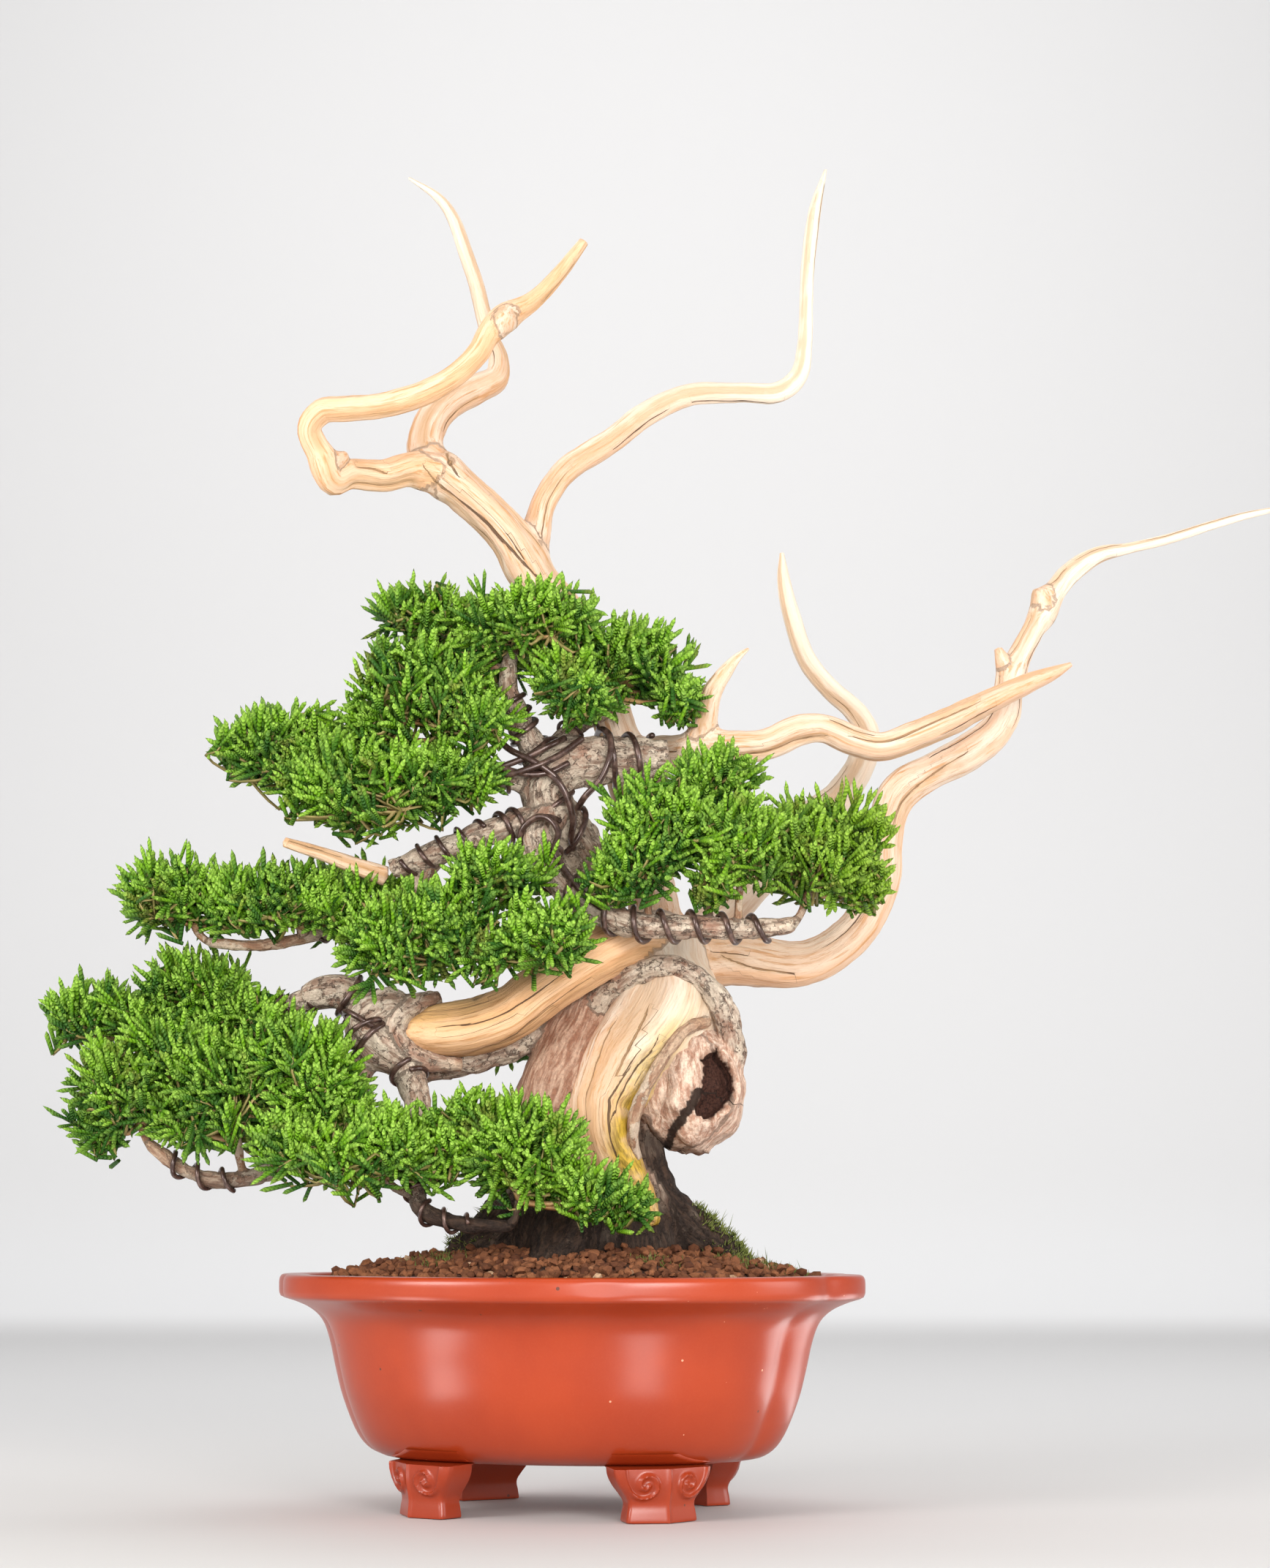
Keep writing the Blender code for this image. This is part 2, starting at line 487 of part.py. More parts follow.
def build_screen(name, way, material):
    """Plastic mesh over a drain hole: a square with four square windows."""
    marks = [-0.5, -0.36, -0.07, 0.07, 0.36, 0.5]
    count = len(marks)
    low = FLOOR_HEIGHT + GAP
    points = []
    for height in (low, low + SCREEN_THICKNESS):
        for v in marks:
            for u in marks:
                points.append((*in_pot(way * DRAIN_HOLE_AT + u * SCREEN_SIDE, v * SCREEN_SIDE), height))
    solid = [[not (u in (1, 3) and v in (1, 3)) for u in range(count - 1)] for v in range(count - 1)]

    def is_solid(u, v):
        return 0 <= u < count - 1 and 0 <= v < count - 1 and solid[v][u]

    faces = []
    top = count * count
    for v in range(count - 1):
        for u in range(count - 1):
            if not solid[v][u]:
                continue
            a = v * count + u
            corners = [a, a + 1, a + 1 + count, a + count]
            faces.append(tuple(reversed(corners)))
            faces.append(tuple(corner + top for corner in corners))
            for (du, dv), (p, q) in zip(((0, -1), (1, 0), (0, 1), (-1, 0)), ((0, 1), (1, 2), (2, 3), (3, 0))):
                if not is_solid(u + du, v + dv):
                    faces.append((corners[p], corners[q], corners[q] + top, corners[p] + top))
    screen = add_mesh(name, points, faces)
    screen.data.materials.append(material)


def soil_height(x, y, reach):
    """Height of the mound at a place in the pot's own axes; reach is 0 in the middle and 1 at the wall."""
    far = Vector((x - 8.0, y)).length
    return (SOIL_EDGE + SOIL_RISE * (1.0 - reach * reach) ** 0.6
            + TRUNK_MOUND * math.exp(-(far / TRUNK_MOUND_WIDTH) ** 2))


def trunk_base(grow):
    """Lower trunk and its roots, thickened by grow."""
    routes = [TRUNK, RIGHT_ROOT, LEFT_ROOT, FRONT_ROOT, REAR_ROOT]
    sides = [9, 6, 6, 6, 6]
    return [tube("base", route_rings(route), count, grow=grow, dome=0.0) for route, count in zip(routes, sides)]


def build_soil(material):
    """Mound of grains that fills the pot, with a hole for the trunk's base."""
    draw = random.Random(SEED)
    angles = all_round(QUADRANT)
    rings = []
    for inset, height in INNER_WALL[:-2]:
        rings.append([(*in_pot(*pot_outline(angle, inset + GAP + 0.1)), height + GAP) for angle in angles])
    screen_top = FLOOR_HEIGHT + SCREEN_THICKNESS + 3.0 * GAP
    rings[0] = [(x, y, screen_top) for x, y, height in rings[0]]
    for reach in [1.0] + SOIL_RINGS:
        ring = []
        for angle in angles:
            x, y = pot_outline(angle, SOIL_INSET + GAP)
            x = x * reach
            y = y * reach
            height = soil_height(x, y, reach)
            if reach < 1.0:
                x += draw.uniform(-GRAIN, GRAIN)
                y += draw.uniform(-GRAIN, GRAIN)
                height += draw.uniform(-GRAIN, GRAIN)
            ring.append((*in_pot(x, y), height))
        rings.append(ring)
    low = (*in_pot(0.0, 0.0), screen_top)
    high = (*in_pot(0.0, 0.0), soil_height(0.0, 0.0, 0.0))
    soil = stacked("soil", rings, (low, high))
    combine(soil, trunk_base(CUT_GROWTH), "DIFFERENCE", "EXACT")
    soil.data.materials.append(material)


def lumpy_ball(name, middle, half, rough, draw):
    """Ball with an uneven surface, drawn out to its half sizes."""
    made = add_mesh(name, [(0, 0, 0)], [])
    shape = bmesh.new()
    bmesh.ops.create_icosphere(shape, subdivisions=2, radius=1.0)
    centre = seen(*middle)
    for vert in shape.verts:
        swell = 1.0 + draw.uniform(-rough, rough)
        vert.co = Vector([(centre[i] + vert.co[i] * half[i] * swell) * MM for i in range(3)])
    shape.to_mesh(made.data)
    shape.free()
    return made


def deadwood_parts(grow):
    """All bare limbs, thickened by grow."""
    stout = [CORE, LEFT_LIMB, RIGHT_LIMB, MIDDLE_JIN, LEADER]
    slim = [SHORT_JIN, REAR_JIN, TOP_LEFT_JIN, TOP_REAR_JIN, TOP_RIGHT_JIN]
    parts = [tube("deadwood", route_rings(route), 7, flute=0.07, twist=0.03, grow=grow) for route in stout]
    parts += [tube("deadwood", route_rings(route), 6, flute=0.05, twist=0.03, grow=grow) for route in slim]
    return parts


def build_deadwood(material):
    """Bare trunk core with its limbs as one body."""
    parts = deadwood_parts(0.0)
    core = parts[0]
    core.name = "deadwood"
    combine(core, parts[1:], "UNION", "EXACT")
    core.data.materials.append(material)
    shade(core)


def branch_routes():
    """Live branches by name."""
    return {"LIVE_STRIP": LIVE_STRIP, "APEX_BRANCH": APEX_BRANCH, "CROWN_BRANCH": CROWN_BRANCH,
            "UPPER_LEFT_BRANCH": UPPER_LEFT_BRANCH, "LEFT_BRANCH": LEFT_BRANCH,
            "MIDDLE_LEFT_BRANCH": MIDDLE_LEFT_BRANCH, "FRONT_BRANCH": FRONT_BRANCH,
            "RIGHT_BRANCH": RIGHT_BRANCH,
            "LOW_VEIN": LOW_VEIN, "LOW_LEFT_BRANCH": LOW_LEFT_BRANCH, "HANGING_BRANCH": HANGING_BRANCH,
            "FRONT_LOW_BRANCH": FRONT_LOW_BRANCH, "REAR_LOW_BRANCH": REAR_LOW_BRANCH}


def along_rings(rings, share):
    """Point, radius and frame at a share of a tube's length."""
    lengths = [0.0]
    for (a, _), (b, _) in zip(rings, rings[1:]):
        lengths.append(lengths[-1] + (b - a).length)
    goal = share * lengths[-1]
    turned = frames(rings)
    for i in range(len(rings) - 1):
        if lengths[i + 1] >= goal or i == len(rings) - 2:
            t = (goal - lengths[i]) / (lengths[i + 1] - lengths[i])
            point = rings[i][0].lerp(rings[i + 1][0], t)
            radius = rings[i][1] + (rings[i + 1][1] - rings[i][1]) * t
            along = turned[i][0].lerp(turned[i + 1][0], t).normalized()
            side = turned[i][1].lerp(turned[i + 1][1], t)
            side = (side - along * side.dot(along)).normalized()
            return point, radius, along, side


def twig_rings(spray):
    """Bark twig from its branch to where the spray's green stem starts."""
    name, branch, share, middle, half = spray
    start, radius, along, side = along_rings(route_rings(branch_routes()[branch], bark_spacing), share)
    goal = seen(*middle)
    way = start - goal
    scaled = math.sqrt(sum((way[i] / (half[0], half[2], half[1])[i]) ** 2 for i in range(3)))
    keep = min(0.62 / scaled, 1.0) if scaled > 0.0 else 1.0
    end = goal + way * keep
    least = radius + 4.0
    if (end - start).length < least:
        end = start - way.normalized() * least
    bend = start.lerp(end, 0.5) + Vector((0.0, 0.0, -0.10 * (end - start).length))
    thick = min(TWIG_RADIUS, radius * 0.8)
    return sample([(start, thick * 1.2), (bend, thick), (end, thick * 0.85)], lambda radius: TWIG_STEP)


def build_live_wood(material):
    """Barked trunk base, live strips, knob and branches as one body, fitted round the bare wood."""
    draw = random.Random(SEED + 1)
    parts = trunk_base(0.0)
    for name, route in branch_routes().items():
        parts.append(tube("bark", route_rings(route, bark_spacing), BRANCH_SIDES.get(name, 5)))
    parts.append(tube("bark", route_rings(BARK_ARCH, bark_spacing), 6))
    parts.append(lumpy_ball("knob", KNOB_MIDDLE, KNOB_HALF, 0.07, draw))
    for spray in SPRAYS:
        parts.append(tube("twig", twig_rings(spray), 3, dome=0.0))
    live = parts[0]
    live.name = "live_wood"
    combine(live, parts[1:], "UNION", "EXACT")
    hollow = lumpy_ball("hollow", HOLLOW_MIDDLE, HOLLOW_HALF, 0.1, draw)
    combine(live, [hollow] + deadwood_parts(CUT_GROWTH), "DIFFERENCE", "EXACT")
    drop_scraps(live)
    live.data.materials.append(material)
    shade(live)


def build_left_stub(material):
    """Bare broken twig that carries on from the end of the left branch."""
    end, radius, along, side = along_rings(route_rings(LEFT_BRANCH, bark_spacing), 1.0)
    start = end + along * (radius * 0.35 + 2.0 * GAP)
    rings = [(start, radius)] + sample([(start + along * 4.0, radius * 0.95)]
                                       + [(seen(a, u, b), r) for a, u, b, r in LEFT_STUB[1:]], limb_spacing)
    stub = tube("left_stub", rings, 6, dome=0.0)
    stub.data.materials.append(material)
    shade(stub)


def wire_rings(entry):
    """Helix wound on a branch, clear of its bark."""
    name, branch, start, end, turns, phase, thick = entry
    rings = route_rings(branch_routes()[branch], bark_spacing)
    steps = int(round(turns * WIRE_STEPS))
    made = []
    for i in range(steps + 1):
        share = i / steps
        point, radius, along, side = along_rings(rings, start + (end - start) * share)
        turn = phase + 2.0 * math.pi * turns * share
        other = along.cross(side)
        reach = (radius + GAP + thick) / math.cos(math.pi / WIRE_STEPS) + 0.1
        made.append((point + (side * math.cos(turn) + other * math.sin(turn)) * reach, thick))
    return made


def build_wires(material):
    """Training wires, each one length of wound wire."""
    for entry in WIRES:
        wire = tube(entry[0], wire_rings(entry), 4, dome=0.0)
        wire.data.materials.append(material)
        shade(wire, 60.0)


class Clearance:
    """Round-ended rods that stand for everything already placed, kept by cells of space."""

    def __init__(self):
        self.cells = {}

    def near(self, start, end, margin):
        """Cells that a rod's box touches."""
        low = [int((min(start[i], end[i]) - margin) // CELL) for i in range(3)]
        high = [int((max(start[i], end[i]) + margin) // CELL) for i in range(3)]
        return itertools.product(*(range(low[i], high[i] + 1) for i in range(3)))

    def add(self, start, end, radius, owner):
        """Record one rod."""
        for cell in self.near(start, end, radius + 2.0):
            self.cells.setdefault(cell, []).append((start, end, radius, owner))

    def add_rings(self, rings, owner):
        """Record a tube as rods."""
        for (a, ra), (b, rb) in zip(rings, rings[1:]):
            self.add(a, b, max(ra, rb), owner)

    def forget(self, name):
        """Drop the green rods of one spray."""
        for cell, rods in self.cells.items():
            self.cells[cell] = [rod for rod in rods if not rod[3].startswith(name + "/stem")]

    def free(self, start, end, radius, skip=None, only=None):
        """True if a rod keeps clear of all rods but those of one owner, or of only that owner's."""
        for cell in self.near(start, end, radius):
            for a, b, other, owner in self.cells.get(cell, ()):
                if owner == skip or (only and owner != only):
                    continue
                if rod_distance(start, end, a, b) < radius + other + SHOOT_CLEAR:
                    return False
        return True


def rod_distance(p1, q1, p2, q2):
    """Shortest distance between two line segments."""
    d1 = q1 - p1
    d2 = q2 - p2
    r = p1 - p2
    a = d1.dot(d1)
    e = d2.dot(d2)
    f = d2.dot(r)
    b = d1.dot(d2)
    c = d1.dot(r)
    denominator = a * e - b * b
    s = min(max((b * f - c * e) / denominator, 0.0), 1.0) if denominator > 1e-9 else 0.0
    t = (b * s + f) / e if e > 1e-9 else 0.0
    if t < 0.0:
        t = 0.0
        s = min(max(-c / a, 0.0), 1.0) if a > 1e-9 else 0.0
    elif t > 1.0:
        t = 1.0
        s = min(max((b - c) / a, 0.0), 1.0) if a > 1e-9 else 0.0
    return ((p1 + d1 * s) - (p2 + d2 * t)).length


class Growth:
    """Mesh of a spray, where every stem and shoot is drawn out of one three-cornered face."""

    def __init__(self, corners):
        self.points = list(corners)
        self.faces = {(0, 1, 2), (0, 2, 1)}

    def middle(self, face):
        """Middle of a face."""
        return (self.points[face[0]] + self.points[face[1]] + self.points[face[2]]) / 3.0

    def draw_stem(self, base, rings):
        """Draw a face out along rings; returns the side faces of each stretch and the end face."""
        self.faces.remove(base)
        last = self.middle(base)
        ahead = (rings[0][0] - last).normalized()
        spoke = self.points[base[0]] - last
        spoke = (spoke - ahead * spoke.dot(ahead)).normalized()
        sense = 1.0 if (self.points[base[1]] - last).dot(ahead.cross(spoke)) > 0.0 else -1.0
        stretches = []
        below = base
        for i, (centre, radius) in enumerate(rings):
            following = rings[min(i + 1, len(rings) - 1)][0]
            ahead = (following - last).normalized()
            spoke = (spoke - ahead * spoke.dot(ahead)).normalized()
            other = ahead.cross(spoke) * sense
            first = len(self.points)
            for k in range(3):
                turn = 2.0 * math.pi * k / 3.0
                self.points.append(centre + (spoke * math.cos(turn) + other * math.sin(turn)) * radius)
            above = (first, first + 1, first + 2)
            sides = []
            for k in range(3):
                a, b = below[k], below[(k + 1) % 3]
                a_up, b_up = above[k], above[(k + 1) % 3]
                if (i + k) % 2:
                    sides.append(((a, b, b_up), (a, b_up, a_up)))
                else:
                    sides.append(((a, b, a_up), (b, b_up, a_up)))
            for pair in sides:
                self.faces.update(pair)
            stretches.append((sides, last, centre))
            below = above
            last = centre
        self.faces.add(below)
        return stretches, below

    def draw_point(self, base, tip):
        """Draw a face out to a point."""
        self.faces.remove(base)
        self.points.append(tip)
        end = len(self.points) - 1
        for k in range(3):
            self.faces.add((base[k], base[(k + 1) % 3], end))


def bent_rings(start, control, end, step, radius):
    """Rings at even steps along a bend from start to end, without one at the start."""
    length = (control - start).length * 0.5 + (end - control).length * 0.5 + (end - start).length * 0.5
    count = max(2, round(length / step))
    rings = []
    for k in range(1, count + 1):
        t = k / count
        point = start * (1 - t) ** 2 + control * (2 * t * (1 - t)) + end * t * t
        rings.append((point, radius * (1.0 - 0.22 * t)))
    return rings


def grow_shoot(growth, face, way, draw, clearance, stem):
    """Draw one shoot out of a face, shorter where it would meet something, or not at all."""
    middle = growth.middle(face)
    for share in SHOOT_SHARES:
        length = SHOOT_LENGTH * share * draw.uniform(0.85, 1.15)
        end = middle + way * length
        outer = middle + way * 0.4 * length
        if not clearance.free(middle + way, end, SHOOT_RADIUS, skip=stem):
            continue
        if clearance.free(outer, end, SHOOT_RADIUS, only=stem):
            clearance.add(outer, end, SHOOT_RADIUS, stem)
            growth.draw_point(face, end)
            return


def grow_shoots(growth, stretches, draw, clearance, stem):
    """Draw shoots out of the sides of a stem, the rear one of each pair standing out more."""
    for sides, low, high in stretches:
        along = (high - low).normalized()
        for pair in sides:
            rear, front = sorted(pair, key=lambda face: (growth.middle(face) - low).dot(along))
            outward = (growth.middle(rear) + growth.middle(front)) / 2.0 - low
            outward = (outward - along * outward.dot(along)).normalized()
            across = along.cross(outward)
            spread = math.copysign(SHOOT_SPREAD, (growth.middle(front) - growth.middle(rear)).dot(across))
            for face, lean, sideways in ((rear, SHOOT_LEAN_REAR, -spread), (front, SHOOT_LEAN_FRONT, spread)):
                way = outward * math.sin(lean) + along * math.cos(lean) + across * sideways
                way = (way + Vector((0.0, 0.0, SHOOT_LIFT))).normalized()
                grow_shoot(growth, face, way, draw, clearance, stem)


def stem_ways(half, count, draw):
    """Ways out from a spray's middle that fill it evenly, with fewer below."""
    golden = math.pi * (3.0 - math.sqrt(5.0))
    turn = draw.uniform(0.0, 2.0 * math.pi)
    ways = []
    for i in range(count):
        height = 0.92 - 1.5 * (i + 0.5) / count
        flat = math.sqrt(max(1.0 - height * height, 0.0))
        across = flat * math.cos(turn + golden * i)
        back = flat * math.sin(turn + golden * i)
        ways.append(Vector((across * half[0], back * half[2], height * half[1])))
    return ways


def pick_face(growth, stretches, used, share, target):
    """Free side face of the main stem, near a share of its length, that best faces a target."""
    found = []
    for i, (sides, low, high) in enumerate(stretches):
        off = abs((i + 0.5) / len(stretches) - share)
        for face in itertools.chain(*sides):
            if any(len(other.intersection(face)) > 1 for other in used):
                continue
            middle = growth.middle(face)
            outward = (middle - (low + high) / 2.0).normalized()
            score = outward.dot((target - middle).normalized()) - 2.2 * off
            found.append((score, face, outward))
    if not found:
        return None, None
    score, face, outward = max(found, key=lambda entry: entry[0])
    return face, outward


def stem_route(start, outward, target, clearance):
    """Rings of a side stem that leaves a face outward and bends to its target, or none if it isn't free."""
    reach = target - start
    if reach.length < SHORTEST_STEM:
        reach = (reach.normalized() + outward * 0.5).normalized() * SHORTEST_STEM
    if reach.normalized().dot(outward) < 0.15:
        return None
    control = start + (outward + reach.normalized()).normalized() * 0.45 * reach.length
    rings = bent_rings(start, control, start + reach, STEM_STEP, STEM_RADIUS)
    if all(clearance.free(a, b, STEM_RADIUS + GAP) for (a, _), (b, _) in zip(rings, rings[1:])):
        return rings
    return None


def spray_root(spray):
    """Where a spray's green stem meets its twig, the way that it leaves, and its first three corners."""
    rings = twig_rings(spray)
    along, side, other = frames(rings)[-1]
    root = rings[-1][0] + along * GAP
    corners = []
    for k in range(3):
        turn = 2.0 * math.pi * k / 3.0
        corners.append(root + (side * math.cos(turn) + other * math.sin(turn)) * MAIN_STEM_RADIUS)
    return root, along, corners


def build_spray(spray, seed, clearance):
    """One spray: a slim stem with leafy side stems, all drawn out of one another."""
    name, branch, share, middle, half = spray
    draw = random.Random(seed)
    root, along, corners = spray_root(spray)
    goal = seen(*middle)
    heart = goal + Vector((0.0, 0.0, 0.1 * half[1]))
    if (heart - root).length < SHORTEST_STEM:
        heart = root + ((heart - root).normalized() + Vector((0.0, 0.0, 0.6))).normalized() * SHORTEST_STEM
    growth = Growth(corners)
    control = root + along * (0.45 * (heart - root).length)
    main_rings = bent_rings(root, control, heart, MAIN_STEM_STEP, MAIN_STEM_RADIUS)
    stretches, tip = growth.draw_stem((0, 1, 2), main_rings)
    clearance.add_rings([(root, MAIN_STEM_RADIUS)] + main_rings, name + "/stem")
    area = half[0] * half[1] + half[1] * half[2] + half[2] * half[0]
    count = max(4, round(area * STEMS_FOR_AREA))
    used = [{0, 1, 2}]
    side_stems = []
    for i, way in enumerate(stem_ways(half, count, draw)):
        height = 0.95 - 0.75 * (i + 0.5) / count
        for attempt in range(8):
            turn = Matrix.Rotation(0.3 * attempt * (1 if attempt % 2 else -1), 3, "Z")
            target = goal + (turn @ way) * (STEM_REACH - 0.03 * attempt)
            if i == 0:
                face = tip
                outward = (main_rings[-1][0] - main_rings[-2][0]).normalized()
            else:
                face, outward = pick_face(growth, stretches, used, height, target)
            rings = stem_route(growth.middle(face), outward, target, clearance) if face else None
            if rings:
                break
        else:
            continue
        stem = name + "/stem" + str(i)
        clearance.add_rings([(growth.middle(face).lerp(rings[0][0], 0.5), STEM_RADIUS)] + rings, stem)
        side_stretches, end = growth.draw_stem(face, rings)
        used.append(set(face))
        side_stems.append((side_stretches, end, (rings[-1][0] - rings[-2][0]).normalized(), stem))
    for side_stretches, end, ahead, stem in side_stems:
        grow_shoot(growth, end, ahead, draw, clearance, stem)
        grow_shoots(growth, side_stretches[1:], draw, clearance, stem)
    return add_mesh(name, growth.points, sorted(growth.faces))


def crosses_itself(made):
    """True if any two faces that share no corner cut each other."""
    corners = [set(polygon.vertices) for polygon in made.data.polygons]
    points = [vertex.co for vertex in made.data.vertices]
    tree = BVHTree.FromPolygons(points, [list(polygon.vertices) for polygon in made.data.polygons])
    return any(a < b and not corners[a] & corners[b] for a, b in tree.overlap(tree))


def build_foliage(material):
    """All sprays, each drawn again with other turns until it is clear of itself."""
    clearance = Clearance()
    for route in [CORE, LEFT_LIMB, RIGHT_LIMB, MIDDLE_JIN, SHORT_JIN, REAR_JIN, LEADER, TOP_LEFT_JIN,
                  TOP_REAR_JIN, TOP_RIGHT_JIN, TRUNK, BARK_ARCH, RIGHT_ROOT, LEFT_ROOT, FRONT_ROOT,
                  REAR_ROOT, LEFT_STUB]:
        clearance.add_rings(route_rings(route), "wood")
    for route in branch_routes().values():
        clearance.add_rings(route_rings(route, bark_spacing), "wood")
    for entry in WIRES:
        clearance.add_rings(wire_rings(entry), "wire")
    for spray in SPRAYS:
        clearance.add_rings(twig_rings(spray)[:-1], "twig")
    knob = seen(*KNOB_MIDDLE)
    clearance.add(knob, knob + Vector((0.0, 0.0, 1.0)), max(KNOB_HALF), "wood")
    for index, spray in enumerate(SPRAYS):
        for attempt in range(TRIES):
            made = build_spray(spray, SEED + index + len(SPRAYS) * attempt, clearance)
            if attempt == TRIES - 1 or not crosses_itself(made):
                break
            bpy.data.objects.remove(made)
            clearance.forget(spray[0])
        made.data.materials.append(material)


def settle(things):
    """Stand the whole object with its box's bottom middle at the origin."""
    corners = [thing.matrix_world @ vert.co for thing in things for vert in thing.data.vertices]
    low = [min(corner[i] for corner in corners) for i in range(3)]
    high = [max(corner[i] for corner in corners) for i in range(3)]
    shift = Matrix.Translation((-(low[0] + high[0]) / 2.0, -(low[1] + high[1]) / 2.0, -low[2]))
    for thing in things:
        thing.data.transform(shift)


def main():
    """Build every piece."""
    clear_scene()
    clay = finish_material("red_clay", (0.55, 0.12, 0.045), 0.42)
    plastic = finish_material("dark_plastic", (0.02, 0.02, 0.02), 0.6)
    grains = finish_material("fired_soil", (0.17, 0.065, 0.035), 0.95)
    bare = finish_material("bleached_wood", (0.80, 0.62, 0.42), 0.7)
    bark = finish_material("bark", (0.27, 0.16, 0.12), 0.9)
    wire = finish_material("dark_wire", (0.05, 0.03, 0.025), 0.4)
    green = finish_material("scale_foliage", (0.07, 0.27, 0.03), 0.55)
    build_pot(clay)
    build_screen("drain_screen_left", -1, plastic)
    build_screen("drain_screen_right", 1, plastic)
    build_soil(grains)
    build_deadwood(bare)
    build_live_wood(bark)
    build_left_stub(bare)
    build_wires(wire)
    build_foliage(green)
    settle(list(bpy.context.scene.objects))


main()
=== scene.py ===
"""Looks of the chinese juniper bonsai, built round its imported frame.

Lengths are in millimetres until a mesh is made. Routes are drawn as seen from the camera: across, up
and back of the upright plane through the pot's middle, then a radius.
"""
import math

import bmesh
import bpy
import numpy as np
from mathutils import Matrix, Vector, noise


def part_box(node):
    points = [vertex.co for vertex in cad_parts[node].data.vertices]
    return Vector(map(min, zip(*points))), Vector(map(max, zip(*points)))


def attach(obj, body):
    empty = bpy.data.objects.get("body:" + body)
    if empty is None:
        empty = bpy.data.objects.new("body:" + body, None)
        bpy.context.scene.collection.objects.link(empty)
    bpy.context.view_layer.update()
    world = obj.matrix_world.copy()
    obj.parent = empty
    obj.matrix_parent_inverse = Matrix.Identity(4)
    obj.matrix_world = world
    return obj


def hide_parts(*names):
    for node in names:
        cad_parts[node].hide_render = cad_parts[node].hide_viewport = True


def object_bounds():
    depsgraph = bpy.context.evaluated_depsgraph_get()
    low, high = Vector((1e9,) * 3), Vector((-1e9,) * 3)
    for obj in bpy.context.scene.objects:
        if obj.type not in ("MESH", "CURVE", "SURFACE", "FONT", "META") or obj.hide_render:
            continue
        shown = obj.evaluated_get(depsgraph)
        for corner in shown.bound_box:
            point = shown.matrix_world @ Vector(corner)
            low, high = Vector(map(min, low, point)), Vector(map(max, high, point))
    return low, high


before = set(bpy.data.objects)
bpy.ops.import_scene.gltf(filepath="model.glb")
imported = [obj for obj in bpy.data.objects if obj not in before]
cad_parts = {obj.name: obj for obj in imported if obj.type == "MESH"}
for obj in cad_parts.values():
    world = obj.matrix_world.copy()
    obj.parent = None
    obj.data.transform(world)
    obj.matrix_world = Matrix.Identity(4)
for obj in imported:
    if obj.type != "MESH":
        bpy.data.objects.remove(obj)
cad_low, cad_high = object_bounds()


# Pot: an oval tray with four lobes, of unglazed red clay that is pressed in a mould and fired to a satin
# skin. Its lip lies flat and turns outward, and two round drain holes go through the floor.
MM = 0.001
POT_ACROSS = -3.5
POT_HEIGHT = 101.0
pot_low, pot_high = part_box("pot")
ORIGIN = np.array([(pot_low.x + pot_high.x) / 2.0 / MM - POT_ACROSS, (pot_low.y + pot_high.y) / 2.0 / MM,
                   pot_high.z / MM - POT_HEIGHT])
KEEP_IN = 0.3
BOX_LOW = np.array(cad_low) / MM - ORIGIN + KEEP_IN
BOX_HIGH = np.array(cad_high) / MM - ORIGIN - KEEP_IN
POT_TURN = math.radians(-13.0)
RIM_HALF_LENGTH = 128.5
RIM_HALF_DEPTH = 98.0
NOTCH_AT = 18.5
NOTCH_DEPTH = 0.045
NOTCH_SPREAD = 9.0
NOTCH_ROUND = 2.5
OUTER_WALL = [(52.0, 24.3), (44.5, 25.8), (38.6, 29.7), (33.8, 37.0), (28.6, 50.0), (25.5, 61.5),
              (22.8, 73.0), (19.6, 81.2), (14.6, 86.1), (8.0, 89.2), (2.4, 90.9)]
LIP = [(0.8, 91.7), (0.15, 93.2), (0.0, 95.0), (0.0, 97.8), (0.35, 99.6), (1.3, 100.7), (2.8, 101.0),
       (7.0, 101.0), (10.4, 100.9), (11.6, 100.3), (12.1, 99.0)]
INNER_WALL = [(13.6, 96.0), (18.0, 91.0), (25.0, 84.0), (29.5, 74.0), (34.0, 56.0), (40.0, 42.0),
              (48.0, 34.0), (58.0, 31.0)]
WALL_STEP, LIP_STEP, INSIDE_STEP = 2.2, 0.75, 6.0
POT_AROUND = 288
DRAIN_RADIUS = 9.0
DRAIN_AT = 36.0
DRAIN_AROUND = 36


def smooth_line(values, step):
    """Evenly spaced samples of a smooth curve through rows whose first three columns are a place."""
    values = np.asarray(values, float)
    padded = np.vstack([2.0 * values[0] - values[1], values, 2.0 * values[-1] - values[-2]])
    t = np.linspace(0.0, 1.0, 25)[:-1, None]
    fine = []
    for a, b, c, d in zip(padded, padded[1:], padded[2:], padded[3:]):
        fine.append(0.5 * (2.0 * b + (c - a) * t + (2.0 * a - 5.0 * b + 4.0 * c - d) * t * t
                           + (3.0 * b - a - 3.0 * c + d) * t ** 3))
    fine = np.vstack(fine + [values[-1:]])
    length = np.concatenate([[0.0], np.cumsum(np.linalg.norm(np.diff(fine[:, :3], axis=0), axis=1))])
    count = max(3, int(round(length[-1] / step)) + 1)
    even = np.linspace(0.0, length[-1], count)
    return np.stack([np.interp(even, length, fine[:, k]) for k in range(fine.shape[1])], axis=1), even


def set_attribute(made, key, values):
    """Store a value or a vector at every vertex."""
    values = np.ascontiguousarray(values, float)
    one_value = values.ndim == 1
    layer = made.data.attributes.new(key, "FLOAT" if one_value else "FLOAT_VECTOR", "POINT")
    layer.data.foreach_set("value" if one_value else "vector", values.ravel())


